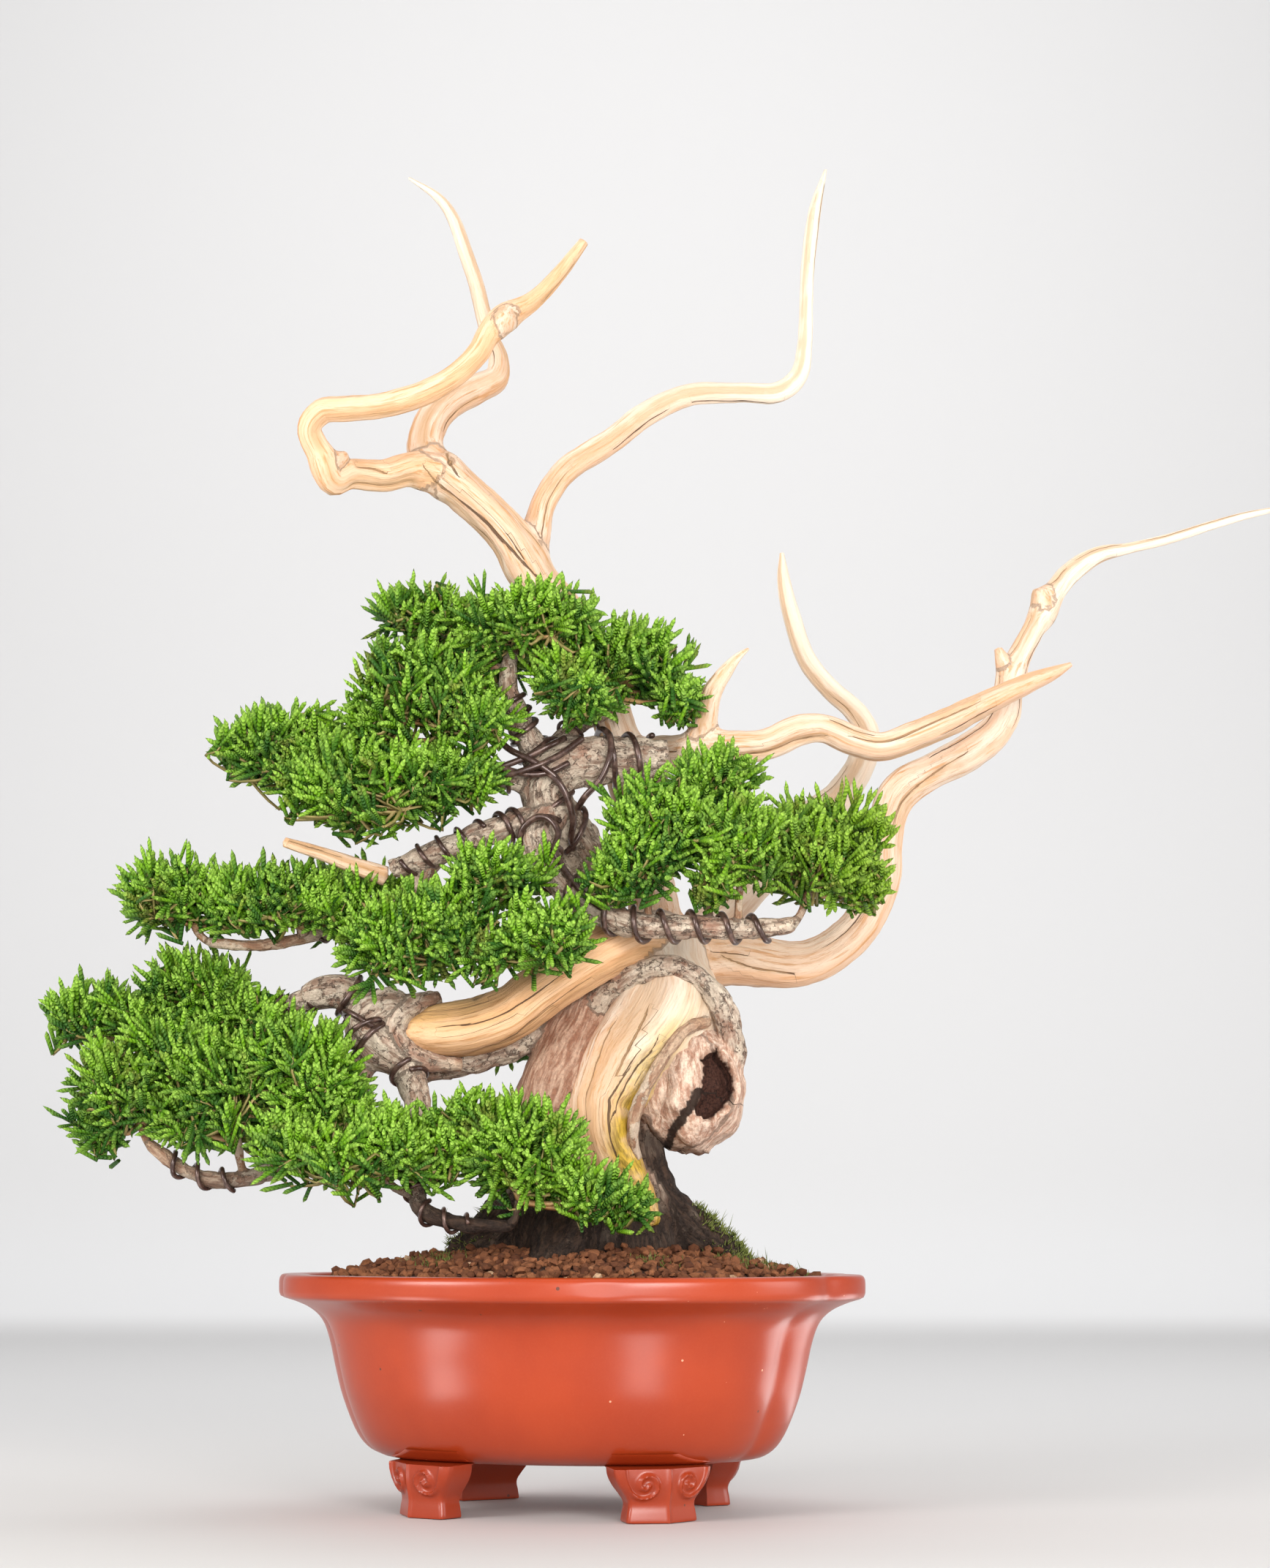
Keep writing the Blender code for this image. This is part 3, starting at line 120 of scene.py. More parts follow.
def mesh_object(name, points, faces, attributes=None):
    """Object from points in millimetres, each inside the frame's box, with vertex attributes."""
    points = np.clip(np.asarray(points, float), BOX_LOW, BOX_HIGH)
    mesh = bpy.data.meshes.new(name)
    mesh.from_pydata(((points + ORIGIN) * MM).tolist(), [], faces)
    mesh.shade_smooth()
    made = bpy.data.objects.new(name, mesh)
    bpy.context.scene.collection.objects.link(made)
    for key, values in (attributes or {}).items():
        set_attribute(made, key, values)
    return made


def ring_faces(rings, around, first=0):
    """Faces between closed rings of points that follow one another."""
    i = np.arange(rings - 1)[:, None] * around + first
    k = np.arange(around)[None, :]
    following = (k + 1) % around
    corners = [i + k, i + following, i + around + following, i + around + k]
    return np.stack(corners, axis=-1).reshape(-1, 4).tolist()


def outline(degrees, inset):
    """Points of the lobed outline, a set distance inside the rim."""
    turn = np.radians(degrees)
    fold = np.abs((degrees + 90.0) % 180.0 - 90.0)
    notch = NOTCH_DEPTH * np.exp(-np.sqrt((fold - NOTCH_AT) ** 2 + NOTCH_ROUND) / NOTCH_SPREAD)
    x = (RIM_HALF_LENGTH - inset) * np.cos(turn) * (1.0 - notch)
    y = (RIM_HALF_DEPTH - inset) * np.sin(turn) * (1.0 - notch)
    return x, y


def in_pot(x, y):
    """Place of a point given along the pot's own length and depth."""
    return (x * math.cos(POT_TURN) - y * math.sin(POT_TURN) + POT_ACROSS,
            x * math.sin(POT_TURN) + y * math.cos(POT_TURN))


def level_ring(x, y, height):
    """Points at one height, given along the pot's own length and depth."""
    across, back = in_pot(x, y)
    return np.stack([across, back, np.full_like(across, height)], axis=1)


def profile(rows, step):
    """Smooth profile line."""
    flat = np.array([(inset, 0.0, height) for inset, height in rows])
    line, _ = smooth_line(flat, step)
    return line[:, [0, 2]]


wall = np.vstack([profile(OUTER_WALL, WALL_STEP), profile(LIP, LIP_STEP), profile(INNER_WALL, INSIDE_STEP)])
degrees = np.arange(POT_AROUND) * 360.0 / POT_AROUND
pot_points = []
for inset, height in wall:
    x, y = outline(degrees, inset)
    pot_points.append(level_ring(x, y, height))
pot_faces = ring_faces(len(wall), POT_AROUND)


def drain_rings(height):
    """Rings of points round the two drain holes at a height, as their numbers in the pot's mesh."""
    start = sum(len(ring) for ring in pot_points)
    holes = []
    for way in (-1.0, 1.0):
        turn = np.arange(DRAIN_AROUND) * 2.0 * np.pi / DRAIN_AROUND
        x = way * DRAIN_AT + DRAIN_RADIUS * np.cos(turn)
        pot_points.append(level_ring(x, DRAIN_RADIUS * np.sin(turn), height))
        holes.append(list(range(start, start + DRAIN_AROUND)))
        start += DRAIN_AROUND
    return holes


outer_holes = drain_rings(wall[0][1])
inner_holes = drain_rings(wall[-1][1])
for low_ring, high_ring in zip(outer_holes, inner_holes):
    for k in range(DRAIN_AROUND):
        following = (k + 1) % DRAIN_AROUND
        pot_faces.append((low_ring[k], high_ring[k], high_ring[following], low_ring[following]))
pot = mesh_object("pot_body", np.vstack(pot_points), pot_faces)
filler = bmesh.new()
filler.from_mesh(pot.data)
filler.verts.ensure_lookup_table()
for rim_start, holes in ((0, outer_holes), ((len(wall) - 1) * POT_AROUND, inner_holes)):
    loops = [list(range(rim_start, rim_start + POT_AROUND))] + holes
    edges = []
    for loop in loops:
        for a, b in zip(loop, loop[1:] + loop[:1]):
            edge = filler.edges.get((filler.verts[a], filler.verts[b]))
            edges.append(edge or filler.edges.new((filler.verts[a], filler.verts[b])))
    bmesh.ops.triangle_fill(filler, use_beauty=True, use_dissolve=False, edges=edges)
bmesh.ops.recalc_face_normals(filler, faces=filler.faces)
filler.to_mesh(pot.data)
filler.free()
pot.data.set_sharp_from_angle(angle=math.radians(50.0))
pot.data.shade_smooth()


def new_material(name):
    """Material with its node tree and its main shader."""
    made = bpy.data.materials.new(name)
    made.use_nodes = True
    return made, made.node_tree, made.node_tree.nodes["Principled BSDF"]


def fill(tree, node, inputs):
    """Give a node its inputs, as values or as sockets."""
    for key, value in inputs.items():
        if isinstance(value, bpy.types.NodeSocket):
            tree.links.new(value, node.inputs[key])
        else:
            node.inputs[key].default_value = value


def add(tree, kind, inputs=None, **settings):
    """Node with its settings and its inputs."""
    node = tree.nodes.new(kind)
    for key, value in settings.items():
        setattr(node, key, value)
    fill(tree, node, inputs or {})
    return node


def colour(red, green, blue):
    """Opaque colour."""
    return (red, green, blue, 1.0)


def object_place(tree):
    """Place on the object, in metres."""
    return add(tree, "ShaderNodeTexCoord").outputs["Object"]


def blend(tree, factor, first, second):
    """Colour mixed from two by a factor."""
    return add(tree, "ShaderNodeMix", {0: factor, 6: first, 7: second}, data_type="RGBA").outputs[2]


def arithmetic(tree, operation, first, second=0.0):
    """Result of a sum on two values."""
    return add(tree, "ShaderNodeMath", {0: first, 1: second}, operation=operation).outputs[0]


def remap(tree, value, low, high, to_low=0.0, to_high=1.0):
    """Value taken from one range to another, and held there."""
    inputs = {"Value": value, "From Min": low, "From Max": high, "To Min": to_low, "To Max": to_high}
    return add(tree, "ShaderNodeMapRange", inputs, interpolation_type="SMOOTHSTEP").outputs[0]


def noise_at(tree, vector, scale, detail=3.0, roughness=0.55, distortion=0.0):
    """Noise value between nothing and one."""
    return add(tree, "ShaderNodeTexNoise", {"Vector": vector, "Scale": scale, "Detail": detail,
                                            "Roughness": roughness, "Distortion": distortion}).outputs[0]


def bump(tree, height, distance, strength=1.0, normal=None):
    """Bumped normal."""
    inputs = {"Height": height, "Distance": distance, "Strength": strength}
    if normal is not None:
        inputs["Normal"] = normal
    return add(tree, "ShaderNodeBump", inputs).outputs[0]


def effect_group(name, inputs, result):
    """Empty shader node group with named inputs and one value as its output."""
    group = bpy.data.node_groups.new(name, "ShaderNodeTree")
    for key, kind in inputs.items():
        group.interface.new_socket(key, in_out="INPUT", socket_type="NodeSocket" + kind)
    group.interface.new_socket(result, in_out="OUTPUT", socket_type="NodeSocketFloat")
    return group, group.nodes.new("NodeGroupInput").outputs, group.nodes.new("NodeGroupOutput").inputs[result]


crumb_group, given, result = effect_group(
    "crumb", {"Place": "Vector", "Scale": "Float", "Detail": "Float", "Roughness": "Float"}, "Crumb")
grit = add(crumb_group, "ShaderNodeTexNoise", {"Vector": given["Place"], "Scale": given["Scale"],
                                               "Detail": given["Detail"], "Roughness": given["Roughness"]})
crumb_group.links.new(grit.outputs[0], result)


def crumb_at(tree, place, scale, detail=4.0, roughness=0.7):
    """Fine grit, as in fired clay, soil and rough bark."""
    inputs = {"Place": place, "Scale": scale, "Detail": detail, "Roughness": roughness}
    return add(tree, "ShaderNodeGroup", inputs, node_tree=crumb_group).outputs[0]


def dots(tree, place, scale, channel, rarity, size):
    """Mask of round specks that only a few of the cells hold."""
    cells = add(tree, "ShaderNodeTexVoronoi", {"Vector": place, "Scale": scale, "Randomness": 1.0})
    lot = add(tree, "ShaderNodeSeparateColor", {0: cells.outputs["Color"]}).outputs[channel]
    return arithmetic(tree, "LESS_THAN", cells.outputs["Distance"], remap(tree, lot, rarity, 1.0, 0.0, size))


def finish(piece, material, slot, *nodes):
    """Give a piece its material and its place in the frame."""
    piece.data.materials.clear()
    piece.data.materials.append(material)
    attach(piece, "root")
    if nodes:
        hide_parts(*nodes)


clay, tree, shader = new_material("red_clay")
here = object_place(tree)
clouding = noise_at(tree, here, 14.0, 4.0, 0.6)
tone = blend(tree, remap(tree, clouding, 0.35, 0.7), colour(0.35, 0.036, 0.0070), colour(0.41, 0.047, 0.0095))
fine = crumb_at(tree, here, 950.0, 3.0, 0.65)
tone = blend(tree, remap(tree, fine, 0.4, 0.8, 0.0, 0.12), tone, colour(0.48, 0.092, 0.032))
tone = blend(tree, dots(tree, here, 210.0, 1, 0.86, 0.11), tone, colour(0.75, 0.33, 0.20))
is_speck = dots(tree, here, 160.0, 0, 0.88, 0.13)
tone = blend(tree, is_speck, tone, colour(0.12, 0.03, 0.015))
height = add(tree, "ShaderNodeSeparateXYZ", {0: here}).outputs[2]
# Painted shade: the clay is darkened towards the bottom of the pot.
tone = blend(tree, remap(tree, height, 0.015, 0.055, 0.30, 0.0), tone, colour(0.16, 0.020, 0.006))
relief = bump(tree, fine, 0.00002, 0.4)
relief = bump(tree, arithmetic(tree, "SUBTRACT", 1.0, is_speck), 0.0002, 0.5, relief)
fill(tree, shader, {"Base Color": tone, "Roughness": remap(tree, fine, 0.3, 0.7, 0.275, 0.295),
                    "Specular IOR Level": 0.5, "Normal": relief})
finish(pot, clay, "red_clay", "pot")


# Feet: four bracket feet of the same clay, joined to the pot's corners before the firing. Each has two faces
# that meet in an upright ridge, and a scroll is raised on both of them.
FOOT_MIDDLE = (48.0, 41.0)
FOOT_PROFILE = [(15.6, 12.0, 2.5), (15.9, 12.2, 3.6), (15.5, 11.8, 6.6), (15.0, 11.4, 9.2),
                (15.2, 11.8, 11.2), (16.8, 12.8, 13.8), (19.6, 14.0, 17.6), (21.4, 14.4, 21.2),
                (22.0, 14.0, 25.0), (22.0, 13.0, 30.0)]
FOOT_EDGE = 1.1
FOOT_FACES = math.radians(40.0)
FOOT_RIDGE = 4.6
SCROLL = [(19.0, 24.5), (18.6, 21.0), (17.2, 17.4), (14.8, 14.3), (11.6, 12.6), (8.2, 12.9), (5.7, 15.0),
          (5.2, 18.2), (7.0, 20.9), (10.0, 21.4), (12.2, 19.5), (11.9, 17.0), (9.7, 16.2), (8.6, 17.8)]
SCROLL_HEIGHT = 1.7
SCROLL_WIDTH = 0.8
FACE_COLUMNS = 61
SIDE_COLUMNS = 12
CORNER_COLUMNS = 6
SIDE_TAPER = 2.0
BACK_TAPER = 2.2
RIB_HEIGHT, RIB_WIDTH = 0.5, 0.7
FOOT_TUCK = 0.7

scroll_line, _ = smooth_line([(u, 0.0, z) for u, z in SCROLL], 0.5)
foot_rows, _ = smooth_line([(half, deep, height) for half, deep, height in FOOT_PROFILE], 0.65)
wall_heights = np.array([height for inset, height in OUTER_WALL])
wall_insets = np.array([inset for inset, height in OUTER_WALL])


def foot_ring(half, deep, height):
    """One level of a foot, sideways and outward of its middle: front faces, right side, back, left side."""
    face = deep / 2.0
    u = np.linspace(-half, half, FACE_COLUMNS)
    edge = np.clip((half - np.abs(u)) / FOOT_EDGE, 0.0, 1.0)
    out = (face - 1.0 + (FOOT_RIDGE + 1.0) * (1.0 - np.abs(u) / half)
           - FOOT_EDGE * (1.0 - np.sqrt(edge * (2.0 - edge))))
    across = np.abs(u)[:, None] - scroll_line[None, :, 0]
    away = np.hypot(across, height - scroll_line[None, :, 2]).min(axis=1)
    if height < wall_heights[0]:
        out = out + SCROLL_HEIGHT * np.exp(-(away / SCROLL_WIDTH) ** 2)
    out = out + RIB_HEIGHT * np.exp(-(u / RIB_WIDTH) ** 2)
    right_side = np.stack([np.linspace(half, half - SIDE_TAPER, CORNER_COLUMNS)[1:-1],
                           np.linspace(out[-1], -face, CORNER_COLUMNS)[1:-1]], axis=1)
    left_side = right_side[::-1] * np.array([-1.0, 1.0])
    back_line = np.linspace(half - BACK_TAPER, BACK_TAPER - half, SIDE_COLUMNS)
    back_side = np.stack([back_line, np.full(SIDE_COLUMNS, -face)], axis=1)
    return np.vstack([np.stack([u, out], axis=1), right_side, back_side, left_side])


feet_points = []
feet_faces = []
for to_right in (-1, 1):
    for to_back in (-1, 1):
        outward = np.array([to_right * math.sin(FOOT_FACES), to_back * math.cos(FOOT_FACES)])
        sideways = np.array([-outward[1], outward[0]])
        middle = np.array([FOOT_MIDDLE[0] * to_right, FOOT_MIDDLE[1] * to_back])
        first = sum(len(some) for some in feet_points)
        for half, deep, height in foot_rows:
            ring = foot_ring(half, deep, height)
            spot = middle + sideways[None, :] * ring[:, :1] + outward[None, :] * ring[:, 1:]
            angles = np.degrees(np.arctan2(spot[:, 1] / RIM_HALF_DEPTH, spot[:, 0] / RIM_HALF_LENGTH))
            edge_x, edge_y = outline(angles, np.interp(height, wall_heights, wall_insets) + FOOT_TUCK)
            tuck = np.minimum(1.0, np.hypot(edge_x, edge_y) / np.hypot(spot[:, 0], spot[:, 1]))
            if height > wall_heights[0]:
                spot = spot * tuck[:, None]
            feet_points.append(level_ring(spot[:, 0], spot[:, 1], height))
        around = len(ring)
        feet_faces += ring_faces(len(foot_rows), around, first)
        feet_faces.append(tuple(range(first + around - 1, first - 1, -1)))
feet = mesh_object("pot_feet", np.vstack(feet_points), feet_faces)
feet.data.set_sharp_from_angle(angle=math.radians(60.0))
finish(feet, clay, "red_clay")


# Drain screens: two squares of black plastic mesh that lie over the drain holes and keep the soil in. Their
# shapes stay those of the frame.
screen_plastic, tree, shader = new_material("screen_plastic")
scuff = noise_at(tree, object_place(tree), 300.0)
tone = blend(tree, scuff, colour(0.012, 0.012, 0.012), colour(0.04, 0.04, 0.04))
fill(tree, shader, {"Base Color": tone, "Roughness": 0.55})
for node in ("drain_screen_left", "drain_screen_right"):
    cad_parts[node].data.materials.clear()
    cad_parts[node].data.materials.append(screen_plastic)


# Bare wood: the trunk's dead core and the long dead limbs (jins) that grow from it. The bark is peeled off,
# the wood is carved and bleached, and it has dried to furrows and cracks along its grain.
EYE = np.array([25.0, -1300.0, 122.6])
CORE = [(34, 123, -31, 2.5), (26, 133, -25, 8.6), (17, 145, -20, 12.6), (12, 157, -17, 14.2),
        (11, 170, -15, 15.3), (14, 178, -13, 16.9), (22, 192, -10, 19.7), (34, 206, -8, 23.0),
        (39, 217, -5, 22.5), (37, 228, 0, 19.5), (36, 240, 8, 17.0)]
LEFT_LIMB = [(38, 240, 4, 12.5), (25, 244, -12, 12.4), (13, 240, -20, 12.4), (-1, 232, -22, 12.1),
             (-16, 222, -22, 12.4), (-28, 213, -20, 13.0), (-44, 207, -18, 13.3), (-60, 205, -16, 12.7),
             (-72, 206, -14, 9.8), (-77, 207, -13, 7.0)]
RIGHT_LIMB = [(35, 238, 8, 15.0), (51, 236, 18, 14.0), (67, 236, 24, 12.6), (92, 233, 28, 11.1),
              (108, 238, 30, 10.2), (122, 250, 31, 9.5), (131, 268, 32, 9.2), (133, 287, 33, 9.1),
              (136, 301, 33, 9.0), (142, 311, 32, 9.4), (154, 318, 30, 8.2), (170, 326, 28, 8.8),
              (182, 335, 27, 8.0), (188, 346, 27, 7.2), (190, 359, 28, 6.1), (200, 380, 33, 5.3),
              (212, 400, 37, 5.2), (219, 408, 38, 4.9), (230, 415, 38, 4.0), (243, 418, 38, 2.6),
              (260, 422, 36, 2.4), (279, 428, 34, 2.2), (296, 433, 32, 1.8), (320, 438, 30, 0.8)]
MIDDLE_JIN = [(27, 325, 40, 8.3), (36, 326, 24, 8.5), (47, 327, 9, 8.6), (57, 328, 2, 8.3),
              (68, 329, 0, 7.7), (82, 330, 0, 7.2), (96, 336, 0, 7.2), (108, 337, 1, 6.6),
              (120, 332, 3, 6.7), (133, 329, 4, 6.5), (148, 334, 4, 6.7), (164, 341, 3, 6.7),
              (180, 349, 1, 5.6), (197, 357, -1, 4.6), (209, 362, -2, 3.0), (217, 366, -2, 1.0)]
SHORT_JIN = [(53, 328, 2, 6.6), (56, 343, -2, 5.5), (59, 354, -4, 4.4), (65, 363, -5, 3.2),
             (70, 369, -6, 1.9), (75, 373, -6, 0.6)]
REAR_JIN = [(42, 243, 24, 10.0), (54, 247, 45, 9.6), (70, 262, 60, 8.9), (86, 281, 70, 8.3),
            (102, 297, 75, 7.7), (115, 308, 77, 7.0), (124, 322, 76, 6.4), (127, 335, 74, 5.6),
            (121, 346, 73, 5.0), (111, 355, 71, 4.8), (101, 368, 70, 4.5), (95, 385, 68, 4.2),
            (91, 403, 66, 3.2), (90, 416, 65, 1.0)]
LEADER = [(35, 240, 18, 14.0), (33, 262, 36, 11.8), (29, 281, 42, 10.8), (25, 304, 44, 10.2),
          (20, 323, 42, 10.0), (15, 341, 38, 10.0), (7, 362, 32, 10.3), (-5, 385, 26, 11.0),
          (-19, 403, 22, 10.7), (-33, 426, 18, 10.0), (-49, 442, 15, 9.7), (-65, 455, 12, 9.1)]
TOP_LEFT_JIN = [(-60, 452, 12, 8.4), (-75, 454, 6, 7.2), (-87, 451, 0, 6.5), (-101, 452, -8, 6.2),
                (-110, 449, -14, 5.7), (-115, 461, -20, 5.5), (-120, 473, -26, 5.6), (-114, 481, -28, 5.8),
                (-104, 482, -30, 5.8), (-85, 484, -32, 5.5), (-67, 490, -34, 5.2), (-54, 498, -34, 4.9),
                (-45, 507, -35, 4.9), (-40, 517, -35, 5.0), (-33, 524, -35, 5.4), (-20, 532, -34, 3.9),
                (-9, 544, -33, 3.3), (2, 559, -32, 2.3)]
TOP_REAR_JIN = [(-64, 450, 13, 8.4), (-68, 464, 17, 7.6), (-65, 476, 22, 7.2), (-57, 485, 26, 6.8),
                (-46, 491, 31, 6.2), (-37, 496, 35, 5.4), (-36, 505, 38, 4.6), (-40, 515, 39, 4.1),
                (-43, 526, 40, 3.9), (-47, 541, 41, 3.8), (-52, 556, 42, 3.6), (-57, 570, 43, 3.1),
                (-64, 580, 44, 2.2), (-77, 589, 45, 0.6)]
TOP_RIGHT_JIN = [(-23, 410, 22, 8.4), (-19, 425, 27, 6.6), (-15, 440, 30, 5.6), (-5, 454, 34, 5.5),
                 (13, 466, 38, 5.4), (31, 480, 42, 5.2), (49, 488, 46, 4.9), (71, 489, 50, 4.6),
                 (88, 489, 52, 4.9), (98, 497, 53, 4.2), (101, 512, 54, 3.4), (102, 532, 55, 3.1),
                 (103, 549, 55, 3.1), (106, 573, 56, 2.8), (111, 593, 56, 0.6)]
KNOT_HIGH = [(-34, 520, -36, 4.6), (-33, 524, -40, 4.4), (-32, 527, -43, 3.4)]
KNOT_RIGHT = [(206, 388, 36, 4.8), (205, 395, 33, 5.0), (204, 400, 31, 3.9)]
KNOT_MIDDLE = [(191, 360, 28, 4.2), (187, 367, 25, 3.2), (185, 373, 24, 1.8)]
KNOT_LEFT = [(-112, 456, -17, 5.2), (-106, 459, -16, 3.4), (-103, 461, -16, 2.0)]
DEAD_STEP = 1.8
CRACKS = [([(-70, 457), (-62, 447), (-49, 437), (-40, 429), (-31, 419), (-20, 407), (-14, 401)], 0.6),
          ([(-59, 466), (-58, 460), (-56, 455), (-52, 449)], 0.5),
          ([(-100, 456), (-92, 455), (-84, 452)], 0.45),
          ([(31, 218), (28, 210), (21, 195), (17, 186), (14, 177)], 0.55),
          ([(36, 204), (32, 196), (25, 188), (18, 176), (14, 164)], 0.35),
          ([(-29, 232), (-38, 225), (-46, 219)], 0.5),
          ([(-9, 216), (-22, 206), (-33, 198), (-46, 193)], 0.45),
          ([(-6, 230), (-22, 218), (-40, 209), (-62, 206)], 0.3),
          ([(96, 229), (76, 232), (62, 238)], 0.4),
          ([(60, 325), (80, 326), (98, 332), (110, 334)], 0.35),
          ([(118, 334), (136, 332), (160, 342), (178, 350)], 0.4),
          ([(137, 290), (142, 304), (156, 317), (172, 328)], 0.35),
          ([(14, 439), (26, 455), (33, 462)], 0.35)]
SAP_LINE = [(47, 210), (38, 198), (30, 186), (23, 172), (21, 158), (25, 145), (31, 132), (37, 120)]


def seen(rows):
    """Points that are seen at (across, up), pushed back along the line of sight."""
    rows = np.atleast_2d(np.asarray(rows, float))
    on_plane = np.stack([rows[:, 0], np.zeros(len(rows)), rows[:, 1]], axis=1)
    return EYE + (on_plane - EYE) * ((rows[:, 2] - EYE[1]) / -EYE[1])[:, None]


def unit(vectors):
    """Vectors of length one."""
    return vectors / np.maximum(np.linalg.norm(vectors, axis=-1, keepdims=True), 1e-9)


class Limb:
    """A swept limb: centres, radii, directions and distance along it."""

    def __init__(self, name, knots, step, as_seen=True):
        knots = np.asarray(knots, float)
        places = seen(knots[:, :3]) if as_seen else knots[:, :3]
        rows, self.along = smooth_line(np.column_stack([places, knots[:, 3]]), step)
        self.name = name
        self.centre = rows[:, :3]
        self.radius = np.maximum(rows[:, 3], 0.3)
        self.way = unit(np.gradient(self.centre, axis=0))
        side = np.cross(self.way[0], [0.31, 0.94, 0.12])
        sides = []
        for way in self.way:
            side = side - way * side.dot(way)
            side = side / np.linalg.norm(side)
            sides.append(side)
        self.side = np.array(sides)
        self.other = np.cross(self.way, self.side)

    def at(self, share):
        """Place and radius at a share of the length."""
        goal = share * self.along[-1]
        i = min(int(np.searchsorted(self.along, goal)), len(self.along) - 1)
        return self.centre[i], self.radius[i]


def sweep(limb, sides):
    """Points and faces of a limb, closed at both ends."""
    turn = np.linspace(0.0, 2.0 * np.pi, sides, endpoint=False)[None, :, None]
    ring = limb.side[:, None, :] * np.cos(turn) + limb.other[:, None, :] * np.sin(turn)
    points = (limb.centre[:, None, :] + ring * limb.radius[:, None, None]).reshape(-1, 3)
    faces = ring_faces(len(limb.centre), sides)
    first = len(points)
    points = np.vstack([points, limb.centre[0] - limb.way[0] * limb.radius[0] * 0.3,
                        limb.centre[-1] + limb.way[-1] * limb.radius[-1] * 0.35])
    top = first - sides
    for k in range(sides):
        following = (k + 1) % sides
        faces.append((k, first, following))
        faces.append((top + k, top + following, first + 1))
    return points, faces


def get_points(made):
    """Places of an object's vertices in millimetres."""
    flat = np.empty(len(made.data.vertices) * 3)
    made.data.vertices.foreach_get("co", flat)
    return flat.reshape(-1, 3) / MM - ORIGIN


def set_points(made, points):
    """Move an object's vertices, inside the frame's box."""
    points = np.clip(points, BOX_LOW, BOX_HIGH)
    made.data.vertices.foreach_set("co", ((points + ORIGIN) * MM).ravel())
    made.data.update()


def get_normals(made):
    """Vertex normals."""
    flat = np.empty(len(made.data.vertices) * 3)
    made.data.vertex_normals.foreach_get("vector", flat)
    return flat.reshape(-1, 3)


def fuse(name, parts):
    """Join closed meshes into one object by a Boolean union."""
    made = [mesh_object(name, points, faces) for points, faces in parts]
    group = bpy.data.collections.new(name + "_group")
    bpy.context.scene.collection.children.link(group)
    for other in made[1:]:
        bpy.context.scene.collection.objects.unlink(other)
        group.objects.link(other)
    base = made[0]
    boolean = base.modifiers.new("fuse", "BOOLEAN")
    boolean.operation = "UNION"
    boolean.operand_type = "COLLECTION"
    boolean.collection = group
    boolean.solver = "MANIFOLD"
    bpy.ops.object.select_all(action="DESELECT")
    bpy.context.view_layer.objects.active = base
    base.select_set(True)
    bpy.ops.object.modifier_apply(modifier="fuse")
    for other in made[1:]:
        bpy.data.objects.remove(other)
    bpy.data.collections.remove(group)
    base.data.shade_smooth()
    return base


def reach_of(points, limbs):
    """For each point: distance to each limb's surface, and the nearest ring of the limb that it lies on."""
    centres = np.vstack([limb.centre for limb in limbs])
    radii = np.concatenate([limb.radius for limb in limbs])
    starts = np.concatenate([[0], np.cumsum([len(limb.centre) for limb in limbs])])[:-1]
    gaps = []
    rings = []
    for first in range(0, len(points), 4000):
        some = points[first:first + 4000]
        square = ((some ** 2).sum(1)[:, None] + (centres ** 2).sum(1)[None, :] - 2.0 * some @ centres.T)
        away = np.sqrt(np.maximum(square, 0.0))
        gaps.append(np.minimum.reduceat(away - radii[None, :], starts, axis=1))
        rings.append(np.argmin(away / radii[None, :], axis=1))
    return np.vstack(gaps), np.concatenate(rings)


def fillet(points, own, limbs, width):
    """Swell a limb's points outward where another limb joins it, so that the join is a soft one."""
    gaps, _ = reach_of(points, limbs)
    gaps[:, own] = 1e9
    near = np.clip(1.0 - np.abs(gaps.min(axis=1)) / width, 0.0, 1.0)
    own_rings = np.argmin(((points[:, None, :] - limbs[own].centre[None, :, :]) ** 2).sum(-1), axis=1)
    outward = unit(points - limbs[own].centre[own_rings])
    return points + outward * (near ** 2 * width / 4.0)[:, None]


def relax(made, weight, rounds):
    """Smooth the places where weight is above nothing."""
    points = get_points(made)
    edges = np.empty(len(made.data.edges) * 2, int)
    made.data.edges.foreach_get("vertices", edges)
    edges = edges.reshape(-1, 2)
    count = np.bincount(edges.ravel(), minlength=len(points))[:, None]
    for _ in range(rounds):
        total = np.zeros_like(points)
        np.add.at(total, edges[:, 0], points[edges[:, 1]])
        np.add.at(total, edges[:, 1], points[edges[:, 0]])
        points += (total / np.maximum(count, 1) - points) * weight[:, None]
    set_points(made, points)


def grain_of(points, rings, limbs):
    """Places along and round the limb that each point lies on, and the limb's radius there."""
    centre = np.vstack([limb.centre for limb in limbs])[rings]
    way = np.vstack([limb.way for limb in limbs])[rings]
    side = np.vstack([limb.side for limb in limbs])[rings]
    other = np.vstack([limb.other for limb in limbs])[rings]
    radius = np.concatenate([limb.radius for limb in limbs])[rings]
    limb_of = np.concatenate([np.full(len(limb.centre), i) for i, limb in enumerate(limbs)])[rings]
    along = np.concatenate([limb.along for limb in limbs])[rings]
    out = points - centre
    along = along + (out * way).sum(1)
    return along, (out * side).sum(1), (out * other).sum(1), radius, limb_of


FURROWS = ((2, 0.085), (3, 0.06), (4, 0.04), (6, 0.035), (9, 0.026), (13, 0.016))


